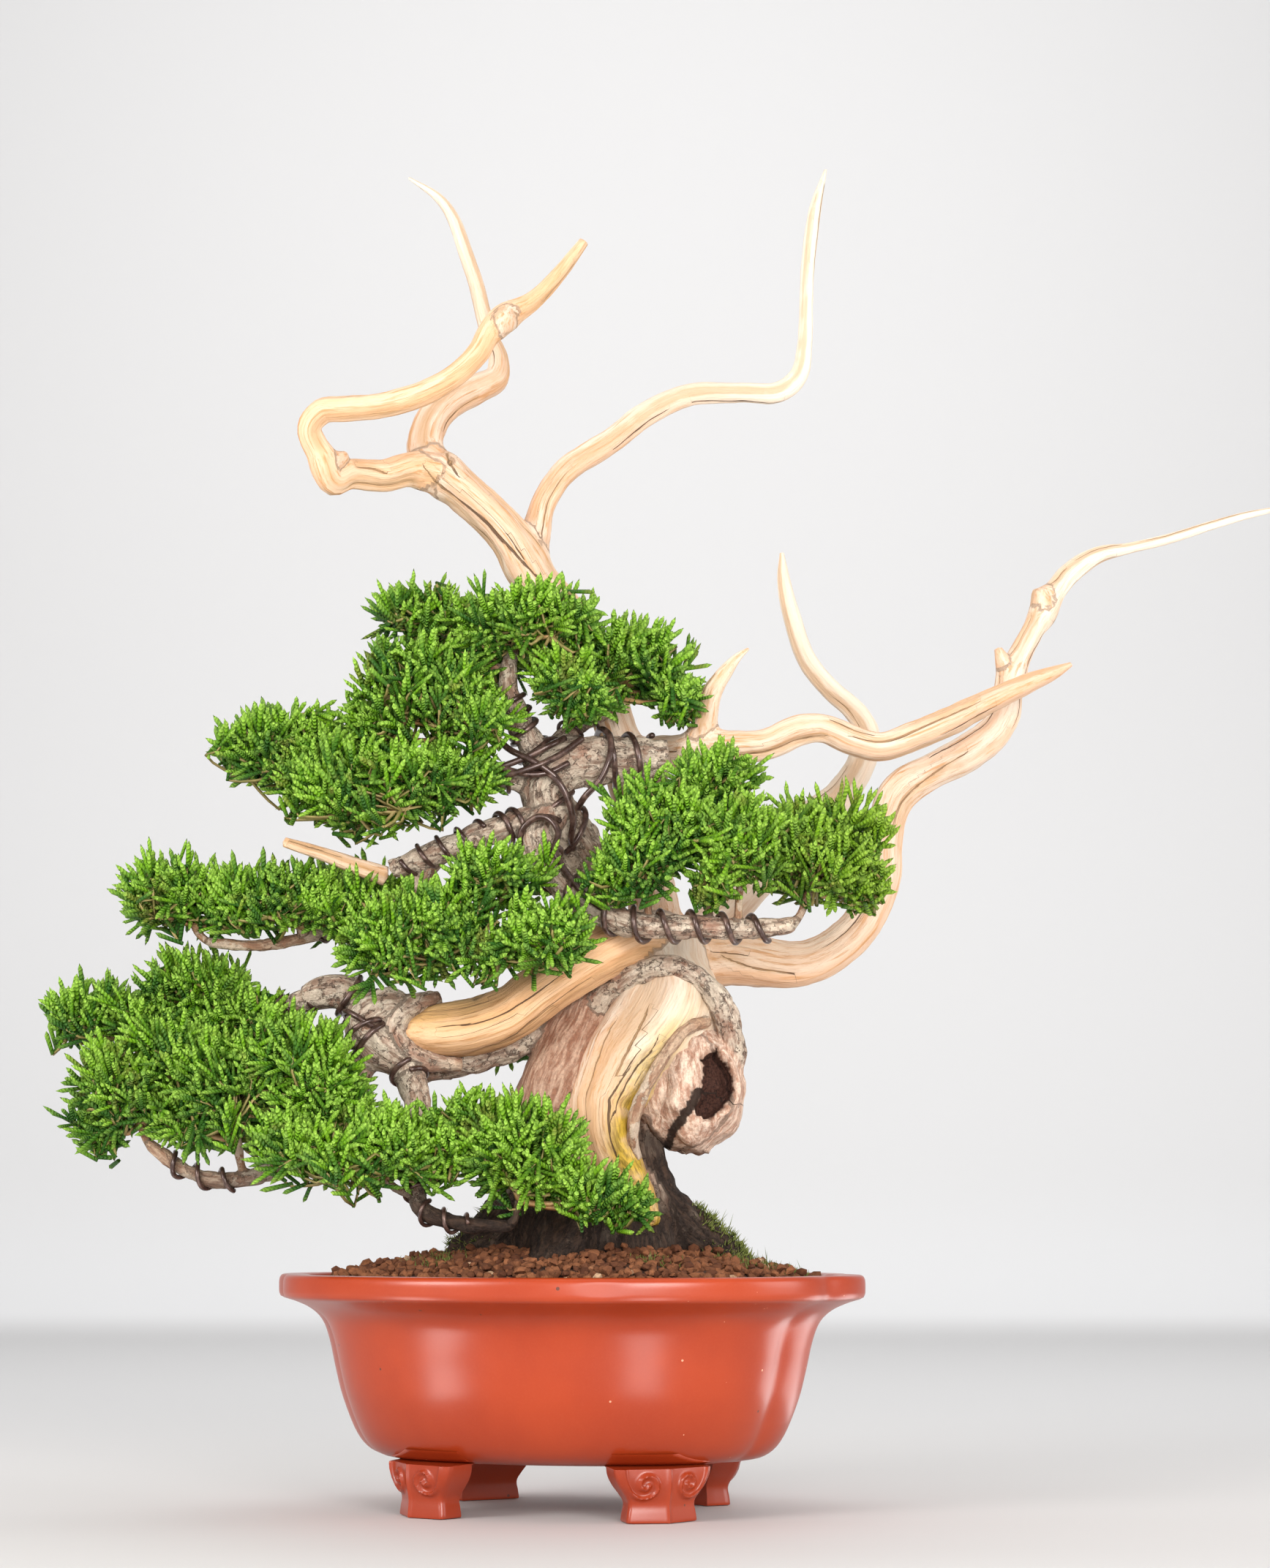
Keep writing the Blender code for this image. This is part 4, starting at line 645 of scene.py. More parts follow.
def ridges(turn, along, radius, limb_of, draw, strength):
    """Ridges and furrows that run along a bare limb and turn slowly round it."""
    phase = draw.uniform(0.0, 2.0 * np.pi, (8, 40))
    lift = np.zeros_like(turn)
    for k, (count, size) in enumerate(FURROWS):
        start = phase[k][limb_of]
        drift = along * (0.006 + 0.003 * k) * (1 if k % 2 else -1)
        drift = drift + 0.9 * np.sin(along / 37.0 + start * 3.0)
        wave = np.cos(count * turn + start + drift)
        if count > 3:
            wave = 1.0 - 2.0 * np.abs(np.cos((count * turn + start + drift) / 2.0)) ** 1.6
            wave *= 0.55 + 0.45 * np.sin(along / (16.0 + 5.0 * k) + start * 2.0)
        lift += wave * size
    return lift * radius * strength


def at_noise(points, size, octaves=3):
    """Smooth noise of about the given size at points."""
    return np.array([noise.fractal(Vector(point) / size, 1.0, 2.0, octaves) for point in points])


def drawn_distance(points, normals, line):
    """Signed distance in the picture from a drawn line, and the share of the way along it, in front only."""
    flat = (EYE + (points - EYE) * (-EYE[1] / (points[:, 1] - EYE[1]))[:, None])[:, [0, 2]]
    line, _ = smooth_line([(x, 0.0, z) for x, z in line], 2.0)
    line = line[:, [0, 2]]
    away = ((flat[:, None, :] - line[None, :, :]) ** 2).sum(-1)
    near = np.clip(away.argmin(axis=1), 1, len(line) - 2)
    way = unit(line[near + 1] - line[near - 1])
    out = flat - line[near]
    signed = out[:, 0] * way[:, 1] - out[:, 1] * way[:, 0]
    share = (near + (out * way).sum(1) / 2.0) / (len(line) - 1)
    to_eye = unit(EYE - points)
    front = (normals * to_eye).sum(1) > 0.1
    return signed, np.where(front, share, -1.0)


CRACK_REACH = 4.0
CRACK_SPACING = 17.0
CRACK_GAP = 8.5


def crack_layer(count, found):
    """Nearest crack of a layer at each vertex: its signed distance, and its width there."""
    signed = np.full(count, CRACK_REACH)
    width = np.zeros(count)
    for away, share, wide in found:
        taper = np.sqrt(np.clip(np.sin(np.pi * np.clip(share, 0.0, 1.0)), 0.0, 1.0))
        close = (np.abs(away) < CRACK_REACH - 0.1) & (taper > 0.02)
        signed[close] = away[close]
        width[close] = wide * taper[close]
    return signed, width


LIMB_SHIFT = 61.0


def work_bare_wood(made, limbs, seed, drawn=()):
    """Furrow a bare piece along its grain, soften its joins and store what its material needs."""
    draw = np.random.default_rng(seed)
    points = get_points(made)
    gaps, rings = reach_of(points, limbs)
    along, u, v, radius, limb_of = grain_of(points, rings, limbs)
    turn = np.arctan2(v, u)
    lift = ridges(turn, along, radius, limb_of, draw, 0.9)
    if len(limbs) > 1:
        second = np.sort(gaps, axis=1)[:, 1]
        join = np.clip(1.0 - np.abs(second) / 6.0, 0.0, 1.0)
    else:
        join = np.zeros(len(points))
    centre = np.vstack([limb.centre for limb in limbs])[rings]
    lift = lift * (1.0 - 0.7 * join) + 0.5 * at_noise(points, 9.0) * np.clip(radius / 8.0, 0.2, 1.0)
    drawn_marks = [(*drawn_distance(points, get_normals(made), line), wide) for line, wide in drawn]
    drawn_signed, drawn_width = crack_layer(len(points), drawn_marks)
    found_marks = []
    for i, limb in enumerate(limbs):
        length = limb.along[-1]
        mean = limb.radius.mean()
        placed = []
        for _ in range(int(length / CRACK_SPACING)):
            size = min(draw.uniform(16.0, 62.0), length * 0.7)
            start = draw.uniform(0.0, length - size)
            angle = draw.uniform(0.0, 2.0 * np.pi)
            twist = draw.uniform(-0.006, 0.006)
            crowded = False
            for old_start, old_angle, old_size in placed:
                apart = abs((angle - old_angle + np.pi) % (2.0 * np.pi) - np.pi) * mean
                if apart < CRACK_GAP and start < old_start + old_size and old_start < start + size:
                    crowded = True
            if crowded:
                continue
            placed.append((start, angle, size))
            share = np.where(limb_of == i, (along - start) / size, -1.0)
            swing = (turn - angle - twist * (along - start) + np.pi) % (2.0 * np.pi) - np.pi
            found_marks.append((swing * radius, share, draw.uniform(0.16, 0.42)))
    found_signed, found_width = crack_layer(len(points), found_marks)
    groove = (1.3 * np.exp(-(drawn_signed / 1.4) ** 2) * np.clip(drawn_width / 0.3, 0.0, 1.0)
              + 0.8 * np.exp(-(found_signed / 1.3) ** 2) * np.clip(found_width / 0.3, 0.0, 1.0))
    lift = lift - groove * np.clip(radius / 6.0, 0.25, 1.0)
    nothing = np.zeros(len(points))
    set_attribute(made, "crack_drawn", np.stack([drawn_signed, drawn_width, nothing], axis=1))
    set_attribute(made, "crack_found", np.stack([found_signed, found_width, nothing], axis=1))
    set_points(made, points + unit(points - centre) * lift[:, None])
    relax(made, 0.6 * join, 6)
    set_attribute(made, "grain", np.stack([u + limb_of * LIMB_SHIFT, v, along], axis=1))
    set_attribute(made, "girth", radius)
    set_attribute(made, "furrow", np.clip(0.5 + lift / np.maximum(radius, 1.0) * 4.0, 0.0, 1.0))
    return points, limb_of, along


dead_limbs = [Limb(name, knots, DEAD_STEP) for name, knots in (
    ("core", CORE), ("left_limb", LEFT_LIMB), ("right_limb", RIGHT_LIMB), ("middle_jin", MIDDLE_JIN),
    ("short_jin", SHORT_JIN), ("rear_jin", REAR_JIN), ("leader", LEADER), ("top_left_jin", TOP_LEFT_JIN),
    ("top_rear_jin", TOP_REAR_JIN), ("top_right_jin", TOP_RIGHT_JIN), ("knot_high", KNOT_HIGH),
    ("knot_right", KNOT_RIGHT), ("knot_middle", KNOT_MIDDLE), ("knot_left", KNOT_LEFT))]
parts = []
for i, limb in enumerate(dead_limbs):
    sides = 56 if limb.radius.max() > 14.0 else 40 if limb.radius.max() > 8.0 else 28
    points, faces = sweep(limb, sides)
    parts.append((fillet(points, i, dead_limbs, 7.0), faces))
deadwood = fuse("bare_wood", parts)

points, limb_of, along = work_bare_wood(deadwood, dead_limbs, 3, CRACKS)
on = {limb.name: limb_of == i for i, limb in enumerate(dead_limbs)}
across, back, up = points.T
sap_away, sap_share = drawn_distance(points, get_normals(deadwood), SAP_LINE)
wedge = 1.35 * np.exp(-(sap_away / 8.0) ** 2) * on["core"] * np.clip(0.35 + sap_share, 0.0, 1.0)
wedge = wedge * (sap_share > -0.9)
wedge = np.maximum(wedge, np.clip((152.0 - up) / 20.0, 0.0, 1.0) * on["core"])
limb_end = np.clip((-30.0 - across) / 40.0, 0.0, 1.0) * np.clip((up - 203.0) / 10.0, 0.0, 1.0)
limb_end = limb_end * on["left_limb"]
set_attribute(deadwood, "yellow", np.clip(wedge + 0.7 * limb_end, 0.0, 1.0))
pale = np.clip((back - 30.0) / 30.0, 0.0, 1.0) * 0.8
for name, start in (("top_right_jin", 60.0), ("top_rear_jin", 60.0), ("right_limb", 240.0)):
    pale = np.where(on[name], np.clip((along - start) / 120.0, 0.0, 1.0), pale)
core_pale = 0.55 * np.clip((up - 165.0) / 20.0, 0.0, 1.0) * np.clip((across - 12.0) / 14.0, 0.0, 1.0)
set_attribute(deadwood, "pale", np.where(on["core"], core_pale, pale))
core_warm = np.clip((185.0 - up) / 60.0, 0.0, 0.5)
right_warm = 0.45 * np.clip(1.0 - along / 200.0, 0.0, 1.0)
warm = np.select([on["left_limb"], on["core"], on["right_limb"], on["top_left_jin"]],
                 [1.0, core_warm, right_warm, 0.6], 0.15)
set_attribute(deadwood, "warm", warm)


def attribute(tree, key, output="Fac"):
    """Stored value or vector of the mesh."""
    return add(tree, "ShaderNodeAttribute", attribute_name=key).outputs[output]


fibre_group, given, result = effect_group(
    "wood_fibre", {"Grain": "Vector", "Stretch": "Vector", "Scale": "Float", "Detail": "Float",
                   "Roughness": "Float", "Distortion": "Float"}, "Fibre")
drawn_out = {0: given["Grain"], 1: given["Stretch"]}
drawn_out = add(fibre_group, "ShaderNodeVectorMath", drawn_out, operation="MULTIPLY")
strands = {key: given[key] for key in ("Scale", "Detail", "Roughness", "Distortion")}
strands = add(fibre_group, "ShaderNodeTexNoise", {"Vector": drawn_out.outputs[0], **strands})
fibre_group.links.new(strands.outputs[0], result)


def fibre_at(tree, grain, stretch, scale, detail=3.0, roughness=0.55, distortion=0.0):
    """Fibres drawn out along the grain by a stretch below one."""
    inputs = {"Grain": grain, "Stretch": (1.0, 1.0, stretch), "Scale": scale, "Detail": detail,
              "Roughness": roughness, "Distortion": distortion}
    return add(tree, "ShaderNodeGroup", inputs, node_tree=fibre_group).outputs[0]


BARE_STRETCH = 0.05
bare, tree, shader = new_material("bleached_wood")
grain = attribute(tree, "grain", "Vector")
broad = fibre_at(tree, grain, BARE_STRETCH, 0.16, 3.0, 0.55, 0.4)
streak = fibre_at(tree, grain, BARE_STRETCH, 0.75, 4.0, 0.6, 0.3)
hair = fibre_at(tree, grain, BARE_STRETCH, 3.2, 3.0, 0.65)
tone = blend(tree, remap(tree, broad, 0.36, 0.64), colour(0.735, 0.48, 0.325), colour(0.86, 0.71, 0.575))
warmth = arithmetic(tree, "MULTIPLY", attribute(tree, "warm"), 0.64)
tone = blend(tree, warmth, tone, colour(0.92, 0.49, 0.20))
tone = blend(tree, remap(tree, streak, 0.50, 0.68, 0.0, 0.85), tone, colour(0.62, 0.30, 0.12))
tone = blend(tree, remap(tree, hair, 0.5, 0.8, 0.0, 0.5), tone, colour(0.58, 0.30, 0.13))
paleness = arithmetic(tree, "MULTIPLY", attribute(tree, "pale"), 0.8)
tone = blend(tree, paleness, tone, colour(0.90, 0.80, 0.66))
patchy = remap(tree, noise_at(tree, grain, 0.07, 3.0, 0.6), 0.30, 0.55, 0.45, 1.0)
sap = arithmetic(tree, "MULTIPLY", attribute(tree, "yellow"), patchy)
gold = blend(tree, remap(tree, streak, 0.4, 0.62), colour(0.66, 0.42, 0.045), colour(0.30, 0.19, 0.02))
tone = blend(tree, sap, tone, gold)
wobble = arithmetic(tree, "SUBTRACT", fibre_at(tree, grain, BARE_STRETCH, 0.9), 0.5)
wobble = arithmetic(tree, "MULTIPLY", wobble, 1.6)
crack = 0.0
for key in ("crack_drawn", "crack_found"):
    split = add(tree, "ShaderNodeSeparateXYZ", {0: attribute(tree, key, "Vector")})
    away = arithmetic(tree, "ABSOLUTE", arithmetic(tree, "ADD", split.outputs[0], wobble))
    ratio = arithmetic(tree, "DIVIDE", away, arithmetic(tree, "ADD", split.outputs[1], 0.001))
    crack = arithmetic(tree, "MAXIMUM", remap(tree, ratio, 0.7, 1.3, 1.0, 0.0), crack)
# Painted shade: the cracks are painted nearly black, standing in for the shade inside them.
tone = blend(tree, arithmetic(tree, "MULTIPLY", crack, 0.92), tone, colour(0.10, 0.05, 0.025))
# Painted shade: the furrows are darkened to a deeper orange, as if shade falls in them.
painted_furrow_shade = remap(tree, attribute(tree, "furrow"), 0.05, 0.45, 0.55, 0.0)
tone = blend(tree, painted_furrow_shade, tone, colour(0.62, 0.36, 0.17))
relief = bump(tree, streak, 0.0011, 0.7)
relief = bump(tree, hair, 0.0005, 0.7, relief)
relief = bump(tree, crack, -0.0012, 0.9, relief)
fill(tree, shader, {"Base Color": tone, "Roughness": 0.62, "Specular IOR Level": 0.3, "Normal": relief})
finish(deadwood, bare, "bleached_wood", "deadwood")


# Left stub: a broken twig at the end of the left branch, dead, peeled and bleached as the limbs are.
# It tapers to a blunt end.
LEFT_STUB = [(-84, 272, -8, 4.2), (-98, 277, -12, 3.4), (-112, 282, -16, 2.9), (-128, 287, -21, 2.2)]
stub_limb = [Limb("left_stub", LEFT_STUB, 1.5)]
left_stub = mesh_object("bare_twig", *sweep(stub_limb[0], 24))
work_bare_wood(left_stub, stub_limb, 5)
for key, value in (("yellow", 0.0), ("pale", 0.0), ("warm", 0.4)):
    set_attribute(left_stub, key, np.full(len(left_stub.data.vertices), value))
finish(left_stub, bare, "bleached_wood", "left_stub")


# Living wood: the trunk's base, its roots, the live strip, the burl, the branches and the twigs, grown as
# one. Old branches have grey, flaking bark and the trunk's is smooth and reddish; near the soil the bark is
# darkened as painted shade.
TRUNK = [(6, 100, 2, 42.0), (6, 110, 2, 42.0), (5, 119, 3, 39.5), (3, 130, 4, 35.5), (1, 145, 6, 31.5),
         (-1, 161, 8, 28.5), (-2, 177, 9, 25.0), (1, 192, 9, 21.0), (6, 206, 9, 16.0)]
LIVE_STRIP = [(-12, 166, -4, 15.5), (-9, 180, -5, 15.0), (-3, 194, -4, 14.2), (4, 209, -2, 13.0),
              (9, 224, 5, 11.8), (9, 240, 13, 10.6), (9, 259, 17, 10.2), (6, 275, 13, 9.8),
              (-1, 288, 4, 10.0), (-11, 300, -2, 10.2), (-14, 311, -6, 10.3), (-7, 320, -6, 10.6),
              (6, 323, -4, 10.6), (19, 323, -2, 10.2), (29, 323, 0, 9.8), (38, 323, 1, 9.4)]
BARK_ARCH = [(8, 214, -8, 7.0), (17, 223, -14, 5.4), (25, 229, -20, 4.7), (37, 233, -22, 4.6),
             (49, 230, -22, 4.6), (59, 221, -20, 4.9), (65, 209, -16, 5.4), (67, 195, -12, 5.8),
             (66, 180, -9, 6.0), (61, 166, -7, 6.4), (52, 157, -6, 6.8)]
RIGHT_ROOT = [(27, 163, -6, 8.6), (29.5, 148, -7, 9.0), (34, 133, -7, 10.4), (45, 120, -6, 11.8),
              (59, 109, -4, 10.4), (75, 98, -2, 6.8)]
KNUCKLE = [(-76, 216, -20, 5.0), (-84, 216, -22, 7.0), (-92, 208, -20, 8.4), (-86, 198, -22, 8.0),
           (-75, 190, -20, 6.4), (-70, 180, -26, 5.0)]
COLLAR = [(-60, 219, -16, 3.0), (-69, 217, -21, 4.2), (-77, 211, -23.5, 5.2), (-78, 203, -23, 5.6),
          (-72, 195, -22, 5.2), (-61, 191, -20, 4.0), (-50, 190, -17, 2.8)]
FACE_LIP = [(57, 209, -21, 2.4), (48, 206, -27, 2.6), (40, 197, -30.5, 2.6), (32, 184, -32, 2.6),
            (26, 172, -31.5, 2.5), (24, 159, -30, 2.4), (26, 150, -27, 2.0)]
LEFT_ROOT = [(-10, 134, -4, 20.0), (-27, 120, -5, 16.5), (-42, 109, -4, 12.0), (-58, 99, 0, 7.5)]
FRONT_ROOT = [(4, 130, -16, 18.0), (-3, 117, -28, 15.0), (-10, 106, -40, 11.0), (-16, 98, -52, 7.0)]
REAR_ROOT = [(8, 130, 20, 18.0), (13, 116, 34, 15.0), (20, 105, 46, 11.0), (26, 97, 58, 7.0)]
BRANCHES = {
    "APEX_BRANCH": [(-13, 315, -4, 7.0), (-21, 331, -8, 5.8), (-28, 347, -12, 4.6), (-31, 359, -12, 3.9),
                    (-29, 374, -10, 3.2)],
    "CROWN_BRANCH": [(-14, 322, -4, 5.0), (-4, 336, 0, 4.0), (14, 345, 6, 3.0)],
    "UPPER_LEFT_BRANCH": [(-16, 311, -6, 5.0), (-32, 315, -12, 4.2), (-54, 314, -12, 3.6),
                          (-80, 308, -8, 3.2), (-106, 308, -4, 2.8)],
    "LEFT_BRANCH": [(-8, 298, -4, 7.0), (-29, 294, -13, 5.8), (-48, 288, -17, 5.0), (-66, 281, -14, 4.4),
                    (-80, 275, -9, 4.2)],
    "MIDDLE_LEFT_BRANCH": [(-60, 283, -15, 3.8), (-70, 268, -8, 3.5), (-86, 257, -2, 3.2),
                           (-108, 248, 2, 2.9), (-136, 242, 2, 2.6), (-160, 243, 2, 2.2)],
    "FRONT_BRANCH": [(-44, 289, -17, 4.2), (-47, 276, -32, 3.8), (-52, 256, -44, 3.4),
                     (-58, 238, -46, 3.0)],
    "RIGHT_BRANCH": [(-8, 303, -3, 7.4), (-15, 294, -13, 7.2), (-16, 282, -22, 7.0), (-8, 270, -30, 6.6),
                     (5, 259, -38, 6.0), (26, 251, -44, 5.4), (51, 250, -47, 4.8), (77, 249, -48, 4.1),
                     (94, 251, -48, 3.5)],
    "LOW_VEIN": [(-4, 212, 4, 8.0), (-16, 205, -2, 6.6), (-30, 198, -4, 6.2), (-44, 193, -5, 6.2),
                 (-60, 190, -6, 6.6), (-74, 193, -8, 7.2), (-85, 202, -10, 8.4), (-93, 214, -10, 8.6),
                 (-102, 222, -10, 6.6), (-118, 220, -8, 4.6)],
    "LOW_LEFT_BRANCH": [(-104, 221, -10, 5.0), (-124, 216, -4, 4.2), (-146, 208, 6, 3.6),
                        (-172, 202, 12, 3.0), (-196, 201, 14, 2.4)],
    "HANGING_BRANCH": [(-86, 204, -10, 6.4), (-94, 188, -20, 5.4), (-104, 166, -24, 4.6),
                       (-122, 149, -20, 4.0), (-146, 141, -16, 3.5), (-166, 144, -13, 3.1),
                       (-184, 156, -11, 2.6)],
    "FRONT_LOW_BRANCH": [(-76, 194, -10, 6.4), (-71, 181, -26, 5.4), (-67, 164, -42, 4.6),
                         (-69, 143, -50, 4.0), (-66, 128, -54, 3.6), (-48, 122, -58, 3.1),
                         (-28, 121, -62, 2.6)],
    "REAR_LOW_BRANCH": [(-6, 197, 0, 5.0), (-12, 198, 26, 3.8), (-18, 194, 46, 3.0)]}
SPRAYS = [("spray_apex_front", "APEX_BRANCH", 0.97, (-20, 384, -20), (32, 20, 24)),
          ("spray_apex_left", "APEX_BRANCH", 0.80, (-67, 387, 0), (22, 15, 20)),
          ("spray_apex_right", "CROWN_BRANCH", 0.97, (19, 364, 4), (34, 25, 26)),
          ("spray_apex_low", "UPPER_LEFT_BRANCH", 0.38, (-68, 350, -22), (34, 30, 24)),
          ("spray_apex_rear", "APEX_BRANCH", 0.72, (-42, 374, 34), (32, 24, 22)),
          ("spray_shoulder_left", "UPPER_LEFT_BRANCH", 0.97, (-132, 325, -4), (31, 24, 26)),
          ("spray_shoulder_front", "UPPER_LEFT_BRANCH", 0.66, (-92, 308, -28), (40, 24, 22)),
          ("spray_shoulder_rear", "UPPER_LEFT_BRANCH", 0.80, (-96, 312, 28), (34, 22, 24)),
          ("spray_middle_left", "MIDDLE_LEFT_BRANCH", 0.99, (-176, 261, 2), (23, 21, 24)),
          ("spray_middle_inner", "MIDDLE_LEFT_BRANCH", 0.62, (-130, 260, -8), (30, 20, 22)),
          ("spray_middle_rear", "MIDDLE_LEFT_BRANCH", 0.40, (-92, 256, 34), (34, 22, 24)),
          ("spray_front_left", "FRONT_BRANCH", 0.98, (-75, 243, -52), (27, 25, 22)),
          ("spray_front_top", "FRONT_BRANCH", 0.45, (-36, 270, -50), (24, 17, 20)),
          ("spray_front_right", "FRONT_BRANCH", 0.80, (-14, 245, -64), (21, 20, 18)),
          ("spray_tip_far_left", "LOW_LEFT_BRANCH", 0.99, (-213, 210, 16), (23, 18, 22)),
          ("spray_tip_left", "LOW_LEFT_BRANCH", 0.60, (-164, 220, 12), (28, 19, 26)),
          ("spray_low_far_left", "HANGING_BRANCH", 0.99, (-194, 178, -12), (24, 24, 24)),
          ("spray_low_left", "HANGING_BRANCH", 0.66, (-150, 176, -26), (27, 30, 22)),
          ("spray_low_inner", "HANGING_BRANCH", 0.36, (-113, 182, -44), (22, 26, 20)),
          ("spray_low_rear", "HANGING_BRANCH", 0.50, (-136, 172, 22), (32, 26, 22)),
          ("spray_skirt_left", "FRONT_LOW_BRANCH", 0.62, (-99, 149, -64), (34, 20, 22)),
          ("spray_skirt_middle", "FRONT_LOW_BRANCH", 0.46, (-46, 163, -58), (18, 17, 16)),
          ("spray_skirt_right", "FRONT_LOW_BRANCH", 0.99, (-20, 147, -68), (26, 25, 20)),
          ("spray_right_inner", "RIGHT_BRANCH", 0.60, (31, 287, -50), (24, 28, 20)),
          ("spray_right_top", "RIGHT_BRANCH", 0.763, (58, 312, -34), (19, 18, 18)),
          ("spray_right_middle", "RIGHT_BRANCH", 0.845, (72, 286, -60), (18, 22, 18)),
          ("spray_right_outer", "RIGHT_BRANCH", 0.99, (108, 280, -46), (26, 26, 26)),
          ("spray_rear_low", "REAR_LOW_BRANCH", 0.99, (-26, 202, 64), (20, 16, 20))]
LIVE_STEP = 1.7
KNOB_MIDDLE = seen([(48.5, 180.5, -5)])[0]
KNOB_HALF = np.array([25.0, 23.0, 28.5])
HOLLOW_LINE = [(57.5, 193), (60, 187), (60.5, 181), (58, 175), (54.5, 171)]
HOLLOW_DEPTH = 14.0
CLEFT_LINE = [(52, 179), (49, 173), (45, 167), (41, 161), (38, 152)]
CLEFT_DEPTH = 6.0
CLEFT_WIDTH = 2.8
TWIG_RADIUS = 1.9
branch_limbs = {name: Limb(name, knots, LIVE_STEP) for name, knots in BRANCHES.items()}


def twig_of(spray):
    """Barked twig from its branch towards the middle of its spray."""
    name, branch, share, middle, half = spray
    start, radius = branch_limbs[branch].at(share)
    goal = seen([middle])[0]
    back = start - goal
    scaled = np.linalg.norm(back / np.array([half[0], half[2], half[1]]))
    end = goal + back * min(0.62 / max(scaled, 0.01), 1.0)
    if np.linalg.norm(end - start) < radius + 4.0:
        end = start - back / np.linalg.norm(back) * (radius + 4.0)
    bend = (start + end) / 2.0 + np.array([0.0, 0.0, -0.1 * np.linalg.norm(end - start)])
    thick = min(TWIG_RADIUS, radius * 0.8)
    knots = [(*start, thick * 1.2), (*bend, thick), (*end, thick * 0.85)]
    return Limb(name, knots, LIVE_STEP, as_seen=False)


live_limbs = [Limb(name, knots, step) for name, knots, step in (
    ("trunk", TRUNK, LIVE_STEP), ("right_root", RIGHT_ROOT, LIVE_STEP), ("left_root", LEFT_ROOT, LIVE_STEP),
    ("front_root", FRONT_ROOT, LIVE_STEP), ("rear_root", REAR_ROOT, LIVE_STEP),
    ("live_strip", LIVE_STRIP, 1.25), ("bark_arch", BARK_ARCH, 1.3), ("knuckle", KNUCKLE, 1.4),
    ("face_lip", FACE_LIP, 1.3), ("collar", COLLAR, 1.3))] + list(branch_limbs.values())
twigs = [twig_of(spray) for spray in SPRAYS]
parts = []
for i, limb in enumerate(live_limbs):
    thick = limb.radius.max()
    sides = 110 if limb.name == "trunk" else 60 if thick > 12.0 else 38 if thick > 6.6 else 22
    points, faces = sweep(limb, sides)
    parts.append((fillet(points, i, live_limbs, 6.0), faces))
for limb in twigs:
    parts.append(sweep(limb, 12))
ball = bmesh.new()
bmesh.ops.create_icosphere(ball, subdivisions=5, radius=1.0)
ball_points = np.array([vert.co for vert in ball.verts])
ball_faces = [[vert.index for vert in face.verts] for face in ball.faces]
ball.free()
parts.append((KNOB_MIDDLE + ball_points * KNOB_HALF, ball_faces))
live_wood = fuse("living_wood", parts)

points = get_points(live_wood)
normals = get_normals(live_wood)
limbs = live_limbs + twigs
gaps, rings = reach_of(points, limbs)
along, u, v, radius, limb_of = grain_of(points, rings, limbs)
on = {limb.name: limb_of == i for i, limb in enumerate(live_limbs)}
across, back, up = points.T
knob_out = np.linalg.norm((points - KNOB_MIDDLE) / KNOB_HALF, axis=1)
on_knob = np.clip((1.10 - knob_out) / 0.08, 0.0, 1.0)
join = np.clip(1.0 - np.abs(np.sort(gaps, axis=1)[:, 1]) / 6.0, 0.0, 1.0) * (1.0 - on_knob)
smooth_bark = np.clip((235.0 - up) / 25.0, 0.0, 1.0) * np.clip((up - 130.0) / 25.0, 0.0, 1.0)
smooth_bark = smooth_bark * (on["trunk"] | on["live_strip"])
flaky = (1.0 - smooth_bark) * (1.0 - on_knob) * np.clip((radius - 1.5) / 5.0, 0.05, 1.0)
plate_space = np.stack([u / 6.0, v / 6.0, along / 10.0], axis=1) + limb_of[:, None] * 7.3
plates = np.zeros(len(points))
for i, place in enumerate(plate_space):
    away, spots = noise.voronoi(Vector(place))
    plates[i] = min(away[1] - away[0], 0.5) * 1.6 + 0.5 * noise.noise(spots[0] * 5.0)
wander = at_noise(points, 14.0, 4)
wander_lift = wander * (0.5 + 1.6 * np.clip((radius - 8.0) / 20.0, 0.0, 1.0))
lift = flaky * (plates * 1.9 - 0.5) + wander_lift + 0.35 * at_noise(points * [1.0, 1.0, 0.4], 3.0, 3)
swirl = knob_out * 3.0 + 0.35 * (across - KNOB_MIDDLE[0]) + 0.10 * (up - KNOB_MIDDLE[2]) + 2.0 * wander
lift = lift + on_knob * (0.9 * np.sin(swirl) + 1.2 * wander)
hollow_away, hollow_share = drawn_distance(points, normals, HOLLOW_LINE)
hollow_swell = 3.2 * np.sin(np.pi * np.clip(hollow_share, 0.05, 0.95))
hollow_wide = 3.4 + hollow_swell + 1.0 * np.clip(hollow_share, 0.0, 1.0)
hollow_in = on_knob * (hollow_share > -0.12) * (hollow_share < 1.12)
hollow = np.exp(-(np.abs(hollow_away) / hollow_wide) ** 6) * hollow_in
hollow_rim = np.exp(-((np.abs(hollow_away) - hollow_wide - 1.8) / 1.6) ** 2) * hollow_in
lift = lift + on_knob * 1.6 * hollow_rim
cleft_away, cleft_share = drawn_distance(points, normals, CLEFT_LINE)
cleft_in = (cleft_share > -0.05) & (cleft_share < 1.1)
cleft = np.exp(-(cleft_away / CLEFT_WIDTH) ** 2) * on_knob * cleft_in
points[:, 1] += HOLLOW_DEPTH * hollow + CLEFT_DEPTH * cleft
set_points(live_wood, points + normals * (lift * (1.0 - 0.6 * join))[:, None])
relax(live_wood, 0.5 * join, 5)
# Painted shade: the bark darkens towards the soil, and on the right root below the burl.
painted_base_shade = np.clip((152.0 - up) / 26.0, 0.0, 1.0)
painted_base_shade = painted_base_shade + 0.9 * on["right_root"] * np.clip((172.0 - up) / 12.0, 0.0, 1.0)
hollow_edge = np.where(hollow_in > 0, np.abs(hollow_away) - hollow_wide, CRACK_REACH)
cleft_edge = np.where(cleft_in & (on_knob > 0), cleft_away, CRACK_REACH)
